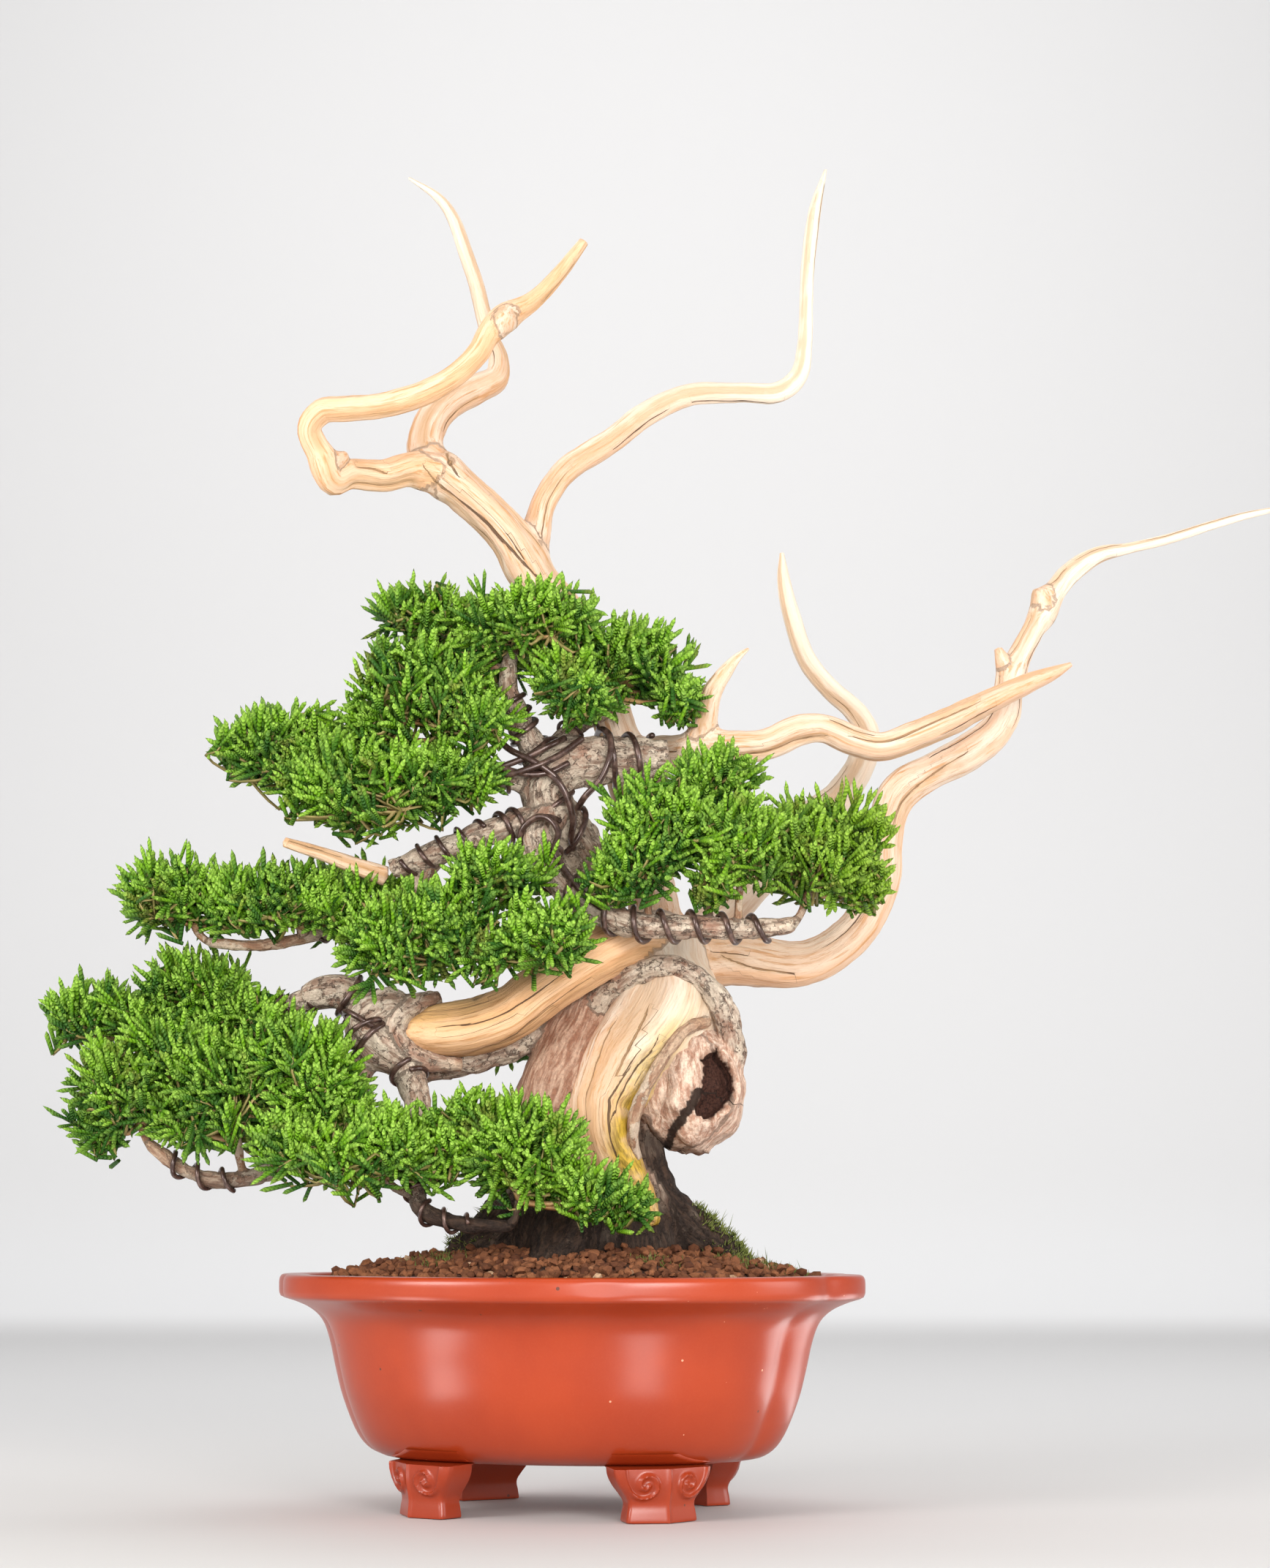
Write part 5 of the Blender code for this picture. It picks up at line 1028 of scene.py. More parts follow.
for key, values in (("grain", np.stack([u + limb_of * LIMB_SHIFT, v, along], axis=1)), ("red", smooth_bark),
                    ("painted_base_shade", np.clip(painted_base_shade, 0.0, 1.0)), ("burl", on_knob),
                    ("pit", np.stack([hollow_edge, cleft_edge, hollow_in], axis=1)),
                    ("plate", np.clip(plates, -1.0, 1.0) * flaky),
                    ("young", np.clip((4.2 - radius) / 2.5, 0.0, 1.0) * (1.0 - on_knob))):
    set_attribute(live_wood, key, values)


def stretched(tree, vector, scale):
    """Vector scaled apart along its three axes."""
    return add(tree, "ShaderNodeVectorMath", {0: vector, 1: scale}, operation="MULTIPLY").outputs[0]


bark, tree, shader = new_material("bark")
grain = attribute(tree, "grain", "Vector")
broad = noise_at(tree, grain, 0.10, 3.0, 0.6)
streak = fibre_at(tree, grain, 0.22, 0.5, 4.0, 0.65, 0.4)
crumbs = crumb_at(tree, object_place(tree), 900.0)
reddish, burl, young = [attribute(tree, key) for key in ("red", "burl", "young")]
grey = blend(tree, remap(tree, streak, 0.35, 0.65), colour(0.29, 0.185, 0.13), colour(0.74, 0.61, 0.48))
grey = blend(tree, remap(tree, broad, 0.45, 0.7, 0.0, 0.8), grey, colour(0.34, 0.175, 0.115))
red = blend(tree, remap(tree, streak, 0.35, 0.68), colour(0.31, 0.14, 0.083), colour(0.63, 0.42, 0.30))
tone = blend(tree, reddish, grey, red)
brown = blend(tree, remap(tree, streak, 0.4, 0.7), colour(0.33, 0.16, 0.085), colour(0.56, 0.35, 0.20))
tone = blend(tree, young, tone, brown)
pink = blend(tree, remap(tree, streak, 0.36, 0.64), colour(0.50, 0.27, 0.18), colour(0.92, 0.70, 0.55))
tone = blend(tree, burl, tone, pink)
warp = add(tree, "ShaderNodeTexNoise", {"Vector": grain, "Scale": 0.22, "Detail": 4.0, "Roughness": 0.7})
warp = stretched(tree, warp.outputs["Color"], (2.1, 2.1, 1.6))
flake_space = {0: stretched(tree, grain, (0.22, 0.22, 0.11)), 1: warp}
flake_space = add(tree, "ShaderNodeVectorMath", flake_space, operation="ADD").outputs[0]
cells = {"Vector": flake_space, "Scale": 1.0, "Randomness": 1.0}
flake_edge = add(tree, "ShaderNodeTexVoronoi", cells, feature="DISTANCE_TO_EDGE").outputs["Distance"]
flake = add(tree, "ShaderNodeTexVoronoi", cells)
shade = add(tree, "ShaderNodeSeparateColor", {0: flake.outputs["Color"]}).outputs[0]
is_flaky = arithmetic(tree, "SUBTRACT", 1.0, arithmetic(tree, "MAXIMUM", reddish, burl))
pale_flake = arithmetic(tree, "MULTIPLY", remap(tree, shade, 0.55, 0.8, 0.0, 0.55), is_flaky)
tone = blend(tree, pale_flake, tone, colour(0.70, 0.60, 0.47))
seam = arithmetic(tree, "MULTIPLY", remap(tree, flake_edge, 0.01, 0.08, 0.75, 0.0), is_flaky)
seam = arithmetic(tree, "MULTIPLY", seam, remap(tree, noise_at(tree, grain, 0.35, 3.0), 0.42, 0.58))
seam = arithmetic(tree, "MAXIMUM", seam, remap(tree, attribute(tree, "plate"), -0.34, 0.06, 0.75, 0.0))
seam = arithmetic(tree, "MULTIPLY", seam, arithmetic(tree, "SUBTRACT", 1.0, young))
tone = blend(tree, seam, tone, colour(0.075, 0.042, 0.03))
# Painted shade: the trunk's foot and the right root are painted nearly black.
painted_base_shade = arithmetic(tree, "MULTIPLY", attribute(tree, "painted_base_shade"), remap(tree, broad, 0.2, 0.45, 0.85, 1.0))
base_shade_tone = blend(tree, remap(tree, streak, 0.42, 0.66), colour(0.016, 0.009, 0.006), colour(0.060, 0.033, 0.020))
tone = blend(tree, painted_base_shade, tone, base_shade_tone)
pit = add(tree, "ShaderNodeSeparateXYZ", {0: attribute(tree, "pit", "Vector")})
ragged = arithmetic(tree, "SUBTRACT", noise_at(tree, grain, 0.45, 3.0), 0.5)
ragged = arithmetic(tree, "MULTIPLY", ragged, 3.2)
# Painted shade: the hollow in the burl is painted nearly black, for the shade inside it.
in_hollow = remap(tree, arithmetic(tree, "ADD", pit.outputs[0], ragged), -0.9, 0.2, 1.0, 0.0)
painted_hollow_shade = blend(tree, remap(tree, crumbs, 0.3, 0.7), colour(0.014, 0.005, 0.003), colour(0.085, 0.028, 0.017))
tone = blend(tree, in_hollow, tone, painted_hollow_shade)
# Painted shadow: the cleft below the hollow is painted nearly black.
in_cleft = arithmetic(tree, "ABSOLUTE", arithmetic(tree, "ADD", pit.outputs[1], ragged))
tone = blend(tree, remap(tree, in_cleft, 1.5, 2.4, 0.96, 0.0), tone, colour(0.018, 0.009, 0.006))
tone = blend(tree, remap(tree, crumbs, 0.35, 0.7, 0.0, 0.35), tone, colour(0.07, 0.045, 0.035))
relief = bump(tree, streak, 0.0014, 0.8)
relief = bump(tree, seam, -0.0012, 0.8, relief)
relief = bump(tree, crumbs, 0.0006, 0.6, relief)
fill(tree, shader, {"Base Color": tone, "Roughness": 0.78, "Specular IOR Level": 0.25, "Normal": relief})
finish(live_wood, bark, "bark", "live_wood")


# Training wires: dark anodised soft metal wire, wound by hand round the branches to bend them into place.
# Loose ends and loops of it lie round the upper trunk, where the wires are anchored.
WIRE_LIST = [("wire_trunk", "live_strip", 0.88, 0.975, 2.0, 0.4, 1.35),
             ("wire_right_branch", "RIGHT_BRANCH", 0.44, 0.93, 6.0, 4.1, 1.3),
             ("wire_left_branch", "LEFT_BRANCH", 0.25, 0.37, 1.6, 1.0, 1.2),
             ("wire_apex_branch", "APEX_BRANCH", 0.36, 0.62, 2.5, 0.5, 1.2),
             ("wire_low_branch", "LOW_VEIN", 0.78, 0.86, 1.6, 0.0, 1.4),
             ("wire_hanging_branch", "HANGING_BRANCH", 0.70, 0.92, 2.5, 0.0, 1.1)]
EXTRA_WIRES = [("wire_strip_low", "live_strip", 0.62, 0.76, 1.7, 1.2, 1.3),
               ("wire_upper_left", "UPPER_LEFT_BRANCH", 0.16, 0.60, 5.0, 0.3, 1.1),
               ("wire_left_outer", "LEFT_BRANCH", 0.45, 0.92, 4.0, 2.0, 1.1),
               ("wire_middle_left", "MIDDLE_LEFT_BRANCH", 0.22, 0.58, 4.0, 0.9, 0.9),
               ("wire_apex_low", "APEX_BRANCH", 0.10, 0.34, 1.8, 2.4, 1.3),
               ("wire_crown", "CROWN_BRANCH", 0.2, 0.8, 2.6, 0.0, 0.9),
               ("wire_right_root", "RIGHT_BRANCH", 0.10, 0.40, 2.4, 0.6, 1.35),
               ("wire_low_left", "LOW_LEFT_BRANCH", 0.1, 0.55, 4.5, 0.5, 1.0),
               ("wire_front_low", "FRONT_LOW_BRANCH", 0.52, 0.86, 4.0, 1.0, 0.9),
               ("wire_front", "FRONT_BRANCH", 0.2, 0.72, 3.0, 0.2, 0.9),
               ("wire_hanging_top", "HANGING_BRANCH", 0.12, 0.46, 3.2, 1.4, 1.2),
               ("wire_knuckle", "knuckle", 0.28, 0.52, 2.6, 0.6, 1.3),
               ("wire_knuckle_low", "knuckle", 0.80, 0.92, 1.2, 0.2, 1.3)]
LOOSE_WIRES = {
    "wire_loop_high": [(8, 333, 8), (10, 337, -6), (14, 334, -14), (14, 325, -18.5), (10, 315, -19),
                       (3, 307, -17), (0, 302, -11)],
    "wire_loop_bend": [(-23, 314, -10), (-20, 319, -15), (-14, 318, -19), (-8, 313, -20.5),
                       (-4, 305, -19.5), (-2, 296, -16.5), (-3, 289, -11), (-2, 284, -4)],
    "wire_ring": [(-22, 280, -18), (-25, 286, -21), (-24, 293, -23.5), (-18, 298, -25), (-12, 297, -27),
                  (-8.5, 291, -30), (-10, 284, -33.5), (-7, 277, -37), (-2, 270, -41), (4, 263, -45),
                  (12, 257, -46)],
    "wire_tangle_low": [(-50, 317, -12), (-38, 319, -18), (-24, 324, -19), (-12, 330, -18), (-6, 333, -10)],
    "wire_tangle_mid": [(-46, 324, -14), (-34, 320, -19), (-22, 317, -20), (-12, 318, -19), (-4, 322, -17)],
    "wire_tangle_high": [(-36, 334, -12), (-30, 328, -18), (-20, 323, -21), (-10, 316, -20),
                         (-6, 309, -19)],
    "wire_tangle_back": [(-44, 313, -14), (-33, 316, -20), (-20, 320, -22), (-9, 325, -19), (2, 333, -14)]}
LOOSE_RADIUS = 1.45
WIRE_STEP = 1.3
named_limbs = {limb.name: limb for limb in live_limbs}


def wind(entry):
    """Helix of wire, pressed to the bark of its branch."""
    name, branch, start, end, turns, phase, thick = entry
    limb = named_limbs[branch]
    knots = []
    steps = int(turns * 20)
    for i in range(steps + 1):
        share = start + (end - start) * i / steps
        goal = share * limb.along[-1]
        spot = [np.interp(goal, limb.along, limb.centre[:, k]) for k in range(3)]
        side = [np.interp(goal, limb.along, limb.side[:, k]) for k in range(3)]
        other = [np.interp(goal, limb.along, limb.other[:, k]) for k in range(3)]
        radius = np.interp(goal, limb.along, limb.radius)
        turn = phase + 2.0 * math.pi * turns * i / steps
        reach = radius + thick * 0.85 + 0.35
        spot = np.array(spot) + (np.array(side) * math.cos(turn) + np.array(other) * math.sin(turn)) * reach
        knots.append((*spot, thick))
    points, faces = sweep(Limb(name, knots, WIRE_STEP, as_seen=False), 8)
    return mesh_object(name + "_wound", points, faces)


wire_metal, tree, shader = new_material("training_wire")
scuff = noise_at(tree, object_place(tree), 260.0, 3.0, 0.6)
tone = blend(tree, remap(tree, scuff, 0.45, 0.75), colour(0.062, 0.032, 0.025), colour(0.19, 0.11, 0.085))
fill(tree, shader, {"Base Color": tone, "Roughness": remap(tree, scuff, 0.3, 0.8, 0.24, 0.5),
                    "Metallic": 0.35, "Coat Weight": 0.3})
for entry in WIRE_LIST:
    finish(wind(entry), wire_metal, "training_wire", entry[0])
for entry in EXTRA_WIRES:
    finish(wind(entry), wire_metal, "training_wire")
for name, route in LOOSE_WIRES.items():
    points, faces = sweep(Limb(name, [(*spot, LOOSE_RADIUS) for spot in route], WIRE_STEP), 9)
    finish(mesh_object(name, points, faces), wire_metal, "training_wire")


# Foliage: 28 sprays of scale leaves. Each spray is a cloud of green branchlets with blunt shoots all round
# them, carried by slim stems that fork from a barked twig, and is pinched back by hand to a dense pad.
SHOOT_RINGS = np.array([0.0, 0.85])
SHOOT_SHAPE = np.array([0.85, 1.0])
SHOOT_SIDES = 5
SHOOT_RADIUS = 1.10
SHOOT_LENGTH = 11.8
TUFT_AREA = 98.0
TUFT_LENGTH = 13.0
GOLDEN = math.pi * (3.0 - math.sqrt(5.0))
TUFT_REACH = 6.5
LEAST_HALF = 4.0
MELT = 3.2
FIRST_SEED = 40
FILLS = {
    "spray_apex_front": [((-8, 358, -24), (18, 14, 16)), ((-45, 374, -14), (15, 15, 16))],
    "spray_apex_right": [((2, 350, -22), (18, 13, 14)), ((44, 350, -6), (13, 12, 14))],
    "spray_apex_low": [((-54, 313, -22), (24, 15, 18)), ((-90, 336, -16), (14, 12, 14)),
                         ((-42, 340, -30), (17, 16, 14))],
    "spray_shoulder_left": [((-112, 318, -14), (18, 18, 18))],
    "spray_shoulder_front": [((-66, 316, -28), (20, 14, 16))],
    "spray_middle_left": [((-152, 255, -4), (18, 15, 16))],
    "spray_middle_inner": [((-102, 255, -14), (19, 15, 16))],
    "spray_front_left": [((-52, 250, -56), (18, 17, 14))],
    "spray_front_right": [((-38, 238, -62), (18, 13, 14))],
    "spray_tip_far_left": [((-190, 207, 8), (17, 13, 16))],
    "spray_tip_left": [((-140, 208, -2), (19, 14, 18)), ((-168, 200, 4), (19, 12, 16))],
    "spray_low_far_left": [((-172, 192, -16), (18, 18, 16)), ((-204, 160, -8), (16, 8, 12))],
    "spray_low_left": [((-130, 194, -32), (18, 17, 16)), ((-170, 166, -20), (15, 13, 14))],
    "spray_low_inner": [((-98, 165, -48), (19, 15, 14))],
    "spray_skirt_left": [((-72, 152, -62), (19, 17, 14)), ((-124, 158, -54), (15, 12, 14))],
    "spray_skirt_middle": [((-58, 150, -64), (15, 12, 14))],
    "spray_skirt_right": [((-30, 152, -66), (17, 15, 14)), ((3, 134, -68), (17, 12, 13)),
                          ((22, 129, -66), (13, 8, 10))],
    "spray_right_inner": [((48, 290, -54), (15, 17, 14)), ((18, 270, -54), (15, 12, 14))],
    "spray_right_middle": [((90, 290, -52), (15, 15, 14)), ((60, 270, -58), (13, 10, 12))],
    "spray_right_outer": [((124, 266, -48), (13, 12, 12))]}


def rods(base, way, curl, length, radius, tone):
    """Points, faces and attributes of many blunt, slightly curved rods."""
    count = len(base)
    helper = np.where(np.abs(way[:, 2:3]) < 0.9, [[0.0, 0.0, 1.0]], [[1.0, 0.0, 0.0]])
    side = unit(np.cross(way, helper))
    other = np.cross(way, side)
    turn = np.arange(SHOOT_SIDES) * 2.0 * np.pi / SHOOT_SIDES
    t = SHOOT_RINGS[None, :, None]
    long = length[:, None, None]
    centre = base[:, None, :] + way[:, None, :] * long * t + curl[:, None, :] * long * t ** 2
    ring = side[:, None, :] * np.cos(turn)[None, :, None] + other[:, None, :] * np.sin(turn)[None, :, None]
    thick = radius[:, None] * SHOOT_SHAPE[None, :]
    points = centre[:, :, None, :] + ring[:, None, :, :] * thick[:, :, None, None]
    tip = base + way * length[:, None] + curl * length[:, None]
    levels = len(SHOOT_RINGS)
    each = levels * SHOOT_SIDES + 1
    points = np.concatenate([points.reshape(count, -1, 3), tip[:, None, :]], axis=1)
    firsts = (np.arange(count) * each)[:, None, None]
    quads = (np.array(ring_faces(levels, SHOOT_SIDES))[None] + firsts).reshape(-1, 4)
    top = (levels - 1) * SHOOT_SIDES
    fan = np.array([(top + k, top + (k + 1) % SHOOT_SIDES, each - 1) for k in range(SHOOT_SIDES)])
    fans = (fan[None] + firsts).reshape(-1, 3)
    share = np.concatenate([np.repeat(SHOOT_RINGS, SHOOT_SIDES), [1.0]])
    round_it = np.concatenate([np.tile(turn, levels), [0.0]])
    shoot = np.stack([share[None, :] * length[:, None], np.tile(round_it, (count, 1)),
                      np.repeat(tone[:, None], each, axis=1)], axis=-1)
    tipness = np.tile(share, (count, 1))
    return points.reshape(-1, 3), quads.tolist() + fans.tolist(), shoot.reshape(-1, 3), tipness.ravel()


def lobe_half(half):
    """Half sizes of a lobe up to where its tufts start."""
    return np.maximum(np.array([half[0], half[2], half[1]], float) - TUFT_REACH, LEAST_HALF)


lobes = [lobe for spray in SPRAYS for lobe in [(spray[3], spray[4])] + FILLS.get(spray[0], [])]
LOBE_MIDDLE = seen([middle for middle, half in lobes])
LOBE_HALF = np.array([lobe_half(half) for middle, half in lobes])


def cloud(points):
    """Distance of points to the surface that melts all lobes into one another, and the way outward."""
    out = points[:, None, :] - LOBE_MIDDLE[None]
    scaled = np.maximum(np.linalg.norm(out / LOBE_HALF[None], axis=2), 1e-3)
    mean = LOBE_HALF.mean(axis=1)[None]
    away = np.clip((scaled - 1.0) * mean, -60.0, 60.0)
    weight = np.exp(-away / MELT)
    slope = out / LOBE_HALF[None] ** 2 / scaled[..., None] * mean[..., None]
    return -MELT * np.log(weight.sum(axis=1)), unit((weight[..., None] * slope).sum(axis=1))


def lobe_tufts(middle, half, root, draw):
    """Tufts that cover one lobe outside the others: base, tip, fork and height of each branchlet."""
    goal = seen([middle])[0]
    size = lobe_half(half)
    heart = goal + (root - goal) * 0.3 + np.array([0.0, 0.0, -0.25 * size[2]])
    wide = size + TUFT_REACH
    squares = (wide[0] * wide[1]) ** 1.6 + (wide[0] * wide[2]) ** 1.6 + (wide[1] * wide[2]) ** 1.6
    area = 4.0 * math.pi * (squares / 3.0) ** (1.0 / 1.6)
    count = max(8, int(area / TUFT_AREA))
    forks = goal + draw.uniform(-0.66, 0.66, (8, 3)) * size * [1.0, 1.0, 0.4] - [0.0, 0.0, 0.30 * size[2]]
    turn = draw.uniform(0.0, 6.28)
    order = np.arange(count)
    height = 0.98 - 1.80 * (order + 0.5) / count
    flat = np.sqrt(np.maximum(1.0 - height ** 2, 0.0))
    angle = turn + GOLDEN * order + draw.uniform(-0.4, 0.4, count)
    tips = goal + np.stack([np.cos(angle) * flat, np.sin(angle) * flat, height], axis=1) * size
    inside, _ = cloud(tips)
    level = 6.0 * at_noise(tips, 21.0, 2) + 2.6 * at_noise(tips + 40.0, 8.0, 2)
    level += draw.uniform(-5.5, 1.5, count)
    level += np.where(draw.random(count) < 0.06, draw.uniform(3.0, 6.5, count), 0.0)
    for _ in range(4):
        away, outward = cloud(tips)
        tips = tips + outward * (level - away)[:, None] * 0.8
    keep = (inside > -6.5) | (draw.random(count) < 0.35)
    keep &= at_noise(tips, 10.0, 1) > -0.30 - 0.25 * np.clip(height, -1.0, 1.0)
    keep &= outward[:, 2] > -0.72
    tufts = []
    for tip, out, high in zip(tips[keep], outward[keep], outward[keep][:, 2]):
        lean = unit(0.72 * out + np.array([0.0, 0.0, 0.42]) + draw.normal(0.0, 0.42, 3))
        base = tip - lean * TUFT_LENGTH * draw.uniform(0.75, 1.2)
        away = np.linalg.norm((forks - base) / size, axis=1) + draw.uniform(0.0, 0.25, len(forks))
        tufts.append((base, tip, forks[np.argmin(away)], high))
    # Inner tufts under the surface; their low height makes their tone darker, as painted shade.
    for _ in range(int(count * 0.18)):
        tip = goal + unit(draw.normal(0.0, 1.0, 3)) * size * draw.uniform(0.3, 0.7)
        base = tip - unit(draw.normal(0.0, 1.0, 3) + [0.0, 0.0, 0.5]) * TUFT_LENGTH
        tufts.append((base, tip, forks[draw.integers(len(forks))], -0.5))
    return heart, forks, tufts


def build_spray(spray, twig, seed):
    """Meshes of one spray: its shoots, and the slim stems that carry them."""
    draw = np.random.default_rng(seed)
    name = spray[0]
    root = twig.centre[-1]
    bases, ways, curls, lengths, radii, tones = [], [], [], [], [], []
    routes = []
    for middle, half in [(spray[3], spray[4])] + FILLS.get(name, []):
        heart, forks, tufts = lobe_tufts(middle, half, root, draw)
        routes.append((np.array([root, (root + heart) / 2.0 + [0.0, 0.0, -1.5], heart]), 1.45))
        for fork in forks:
            routes.append((np.array([heart, (heart + fork) / 2.0 - [0.0, 0.0, 1.0], fork]), 1.15))
        for start, end, fork, height in tufts:
            bend = draw.normal(0.0, 1.3, 3) - [0.0, 0.0, 1.2]
            control = (start + end) / 2.0 + bend
            sag = (fork + start) / 2.0 + [0.0, 0.0, -1.5]
            routes.append((np.array([fork, sag, start, control, end]), 0.85))
            steps = int(draw.integers(6, 10))
            t = np.linspace(0.0, 1.0, steps)[:, None]
            line = start * (1 - t) ** 2 + control * 2 * t * (1 - t) + end * t * t
            directions = unit(np.gradient(line, axis=0))
            # Partly painted light: a tuft's tone is random and lighter where its lobe faces upward.
            tone = np.clip(draw.uniform(-0.15, 1.0) * 0.8 + 0.34 * (height + 0.3), 0.0, 1.0)
            spin = draw.uniform(0.0, 6.28)
            fat = draw.uniform(0.85, 1.08)
            for j in range(steps):
                share = j / (steps - 1)
                way = directions[j]
                side = unit(np.cross(way, [0.1, 0.2, 0.97]))
                other = np.cross(way, side)
                angle = spin + j * 2.4 + draw.uniform(-0.5, 0.5)
                outward = side * math.cos(angle) + other * math.sin(angle)
                open_angle = math.radians(60.0 - 34.0 * share + draw.uniform(-12.0, 12.0))
                bases.append(line[j])
                way_out = outward * math.sin(open_angle) + way * math.cos(open_angle)
                ways.append(unit(way_out + np.array([0.0, 0.0, 0.10])))
                curls.append(way * 0.26 + np.array([0.0, 0.0, 0.05]))
                swell = 0.85 + 0.3 * math.sin(math.pi * share)
                lengths.append(SHOOT_LENGTH * swell * draw.uniform(0.62, 1.15))
                radii.append(SHOOT_RADIUS * fat * draw.uniform(0.82, 1.08))
                tones.append(np.clip(tone + draw.uniform(-0.2, 0.2), 0.0, 1.0))
            bases.append(line[-1])
            ways.append(directions[-1])
            curls.append(np.zeros(3))
            lengths.append(SHOOT_LENGTH * draw.uniform(0.55, 0.85))
            radii.append(SHOOT_RADIUS * fat)
            tones.append(tone)
    base, way, length, curl = np.array(bases), np.array(ways), np.array(lengths), np.array(curls)
    tip = base + (way + curl) * length[:, None]
    inside = ((tip > BOX_LOW + 1.0) & (tip < BOX_HIGH - 1.0)).all(axis=1)
    points, faces, shoot, tipness = rods(base[inside], way[inside], curl[inside], length[inside],
                                         np.array(radii)[inside], np.array(tones)[inside])
    leaves = mesh_object(name + "_leaves", points, faces, {"shoot": shoot, "tipness": tipness})
    stem_points, stem_faces, brown = [], [], []
    for line, thick in routes:
        if np.linalg.norm(line[-1] - line[0]) < 2.0:
            continue
        taper = np.linspace(thick, thick * 0.7, len(line))
        limb = Limb("stem", np.column_stack([line, taper]), 6.5, as_seen=False)
        some, some_faces = sweep(limb, 3 if thick < 1.0 else 4)
        stem_faces += [tuple(index + len(brown) for index in face) for face in some_faces]
        stem_points.append(some)
        brown += [np.clip((thick - 0.7) / 0.4, 0.0, 1.0)] * len(some)
    stems = mesh_object(name + "_stems", np.vstack(stem_points), stem_faces, {"brown": brown})
    return leaves, stems


SCALE_PITCH = 1.5
leaf, tree, shader = new_material("scale_foliage")
shoot = add(tree, "ShaderNodeSeparateXYZ", {0: attribute(tree, "shoot", "Vector")})
tuft_tone_and_painted_light = shoot.outputs[2]
tipness = attribute(tree, "tipness")
here = object_place(tree)
clump = noise_at(tree, here, 26.0, 2.0)
# A tuft's tone is partly random and partly painted light, lighter on the upper side of each lobe; the lighter
# tips follow it.
tone = blend(tree, remap(tree, tuft_tone_and_painted_light, 0.0, 0.9), colour(0.035, 0.135, 0.014), colour(0.21, 0.47, 0.010))
tone = blend(tree, remap(tree, clump, 0.5, 0.7, 0.0, 0.5), tone, colour(0.28, 0.54, 0.018))
tip_share = remap(tree, tuft_tone_and_painted_light, 0.0, 0.6, 0.35, 0.85)
tip_share = arithmetic(tree, "MULTIPLY", remap(tree, tipness, 0.45, 1.0), tip_share)
tone = blend(tree, tip_share, tone, colour(0.45, 0.74, 0.10))
east = add(tree, "ShaderNodeSeparateXYZ", {0: here}).outputs[0]
tone = blend(tree, remap(tree, east, 0.0, 0.12, 0.0, 0.45), tone, colour(0.33, 0.42, 0.025))
olive = remap(tree, noise_at(tree, here, 55.0, 2.0), 0.60, 0.72, 0.0, 0.65)
tone = blend(tree, olive, tone, colour(0.22, 0.20, 0.035))
# Painted shade: the base of each shoot is darkened, standing in for the shade deep inside the pad.
tone = blend(tree, remap(tree, tipness, 0.50, 0.0, 0.0, 0.80), tone, colour(0.030, 0.10, 0.010))
wave = arithmetic(tree, "MULTIPLY", shoot.outputs[0], 2.0 * math.pi / SCALE_PITCH)
round_it = arithmetic(tree, "MULTIPLY", arithmetic(tree, "SINE", shoot.outputs[1]), 1.6)
scales = arithmetic(tree, "SINE", arithmetic(tree, "ADD", wave, round_it))
tone = blend(tree, remap(tree, scales, -1.0, -0.2, 0.42, 0.0), tone, colour(0.03, 0.12, 0.008))
fill(tree, shader, {"Base Color": tone, "Roughness": 0.5, "Specular IOR Level": 0.28,
                    "Normal": bump(tree, scales, 0.0005, 0.8)})
glow = add(tree, "ShaderNodeBsdfTranslucent", {"Color": colour(0.22, 0.46, 0.05)})
lit = add(tree, "ShaderNodeMixShader", {0: 0.16, 1: shader.outputs[0], 2: glow.outputs[0]})
tree.links.new(lit.outputs[0], tree.nodes["Material Output"].inputs["Surface"])

green_stem, tree, shader = new_material("green_stem")
mottle = remap(tree, noise_at(tree, object_place(tree), 180.0, 3.0), 0.4, 0.62)
tone = blend(tree, mottle, colour(0.10, 0.17, 0.03), colour(0.22, 0.20, 0.05))
twig_tone = blend(tree, mottle, colour(0.42, 0.22, 0.08), colour(0.55, 0.36, 0.16))
tone = blend(tree, attribute(tree, "brown"), tone, twig_tone)
fill(tree, shader, {"Base Color": tone, "Roughness": 0.6})

for index, (spray, twig) in enumerate(zip(SPRAYS, twigs)):
    leaves, stems = build_spray(spray, twig, FIRST_SEED + index)
    finish(leaves, leaf, "scale_foliage", spray[0])
    finish(stems, green_stem, "scale_foliage")


# Soil: coarse grains of fired clay, heaped to a mound round the trunk. The frame's mound stays as the ground
# between them, one close layer of grains lies half sunk in it, and loose grains lie on top.
SOIL_EDGE = 94.5
SOIL_RISE = 15.0
SOIL_INSET = 16.4
TRUNK_AT = 8.0
TRUNK_MOUND = 5.5
TRUNK_MOUND_WIDTH = 52.0
GRAIN_SPACING = 3.5
LOOSE_SPACING = 9.5


def soil_height(x, y, reach):
    """Height of the mound at a place in the pot's own axes; reach is 0 in the middle and 1 at the wall."""
    far = np.hypot(x - TRUNK_AT, y)
    return (SOIL_EDGE + SOIL_RISE * np.maximum(1.0 - reach * reach, 0.0) ** 0.6
            + TRUNK_MOUND * np.exp(-(far / TRUNK_MOUND_WIDTH) ** 2))


def on_soil(x, y):
    """Share of the way from the soil's middle to its edge at a place, and the soil's height there."""
    degrees = np.degrees(np.arctan2(y / (RIM_HALF_DEPTH - SOIL_INSET), x / (RIM_HALF_LENGTH - SOIL_INSET)))
    edge_x, edge_y = outline(degrees, SOIL_INSET)
    reach = np.hypot(x, y) / np.hypot(edge_x, edge_y)
    return reach, soil_height(x, y, reach)


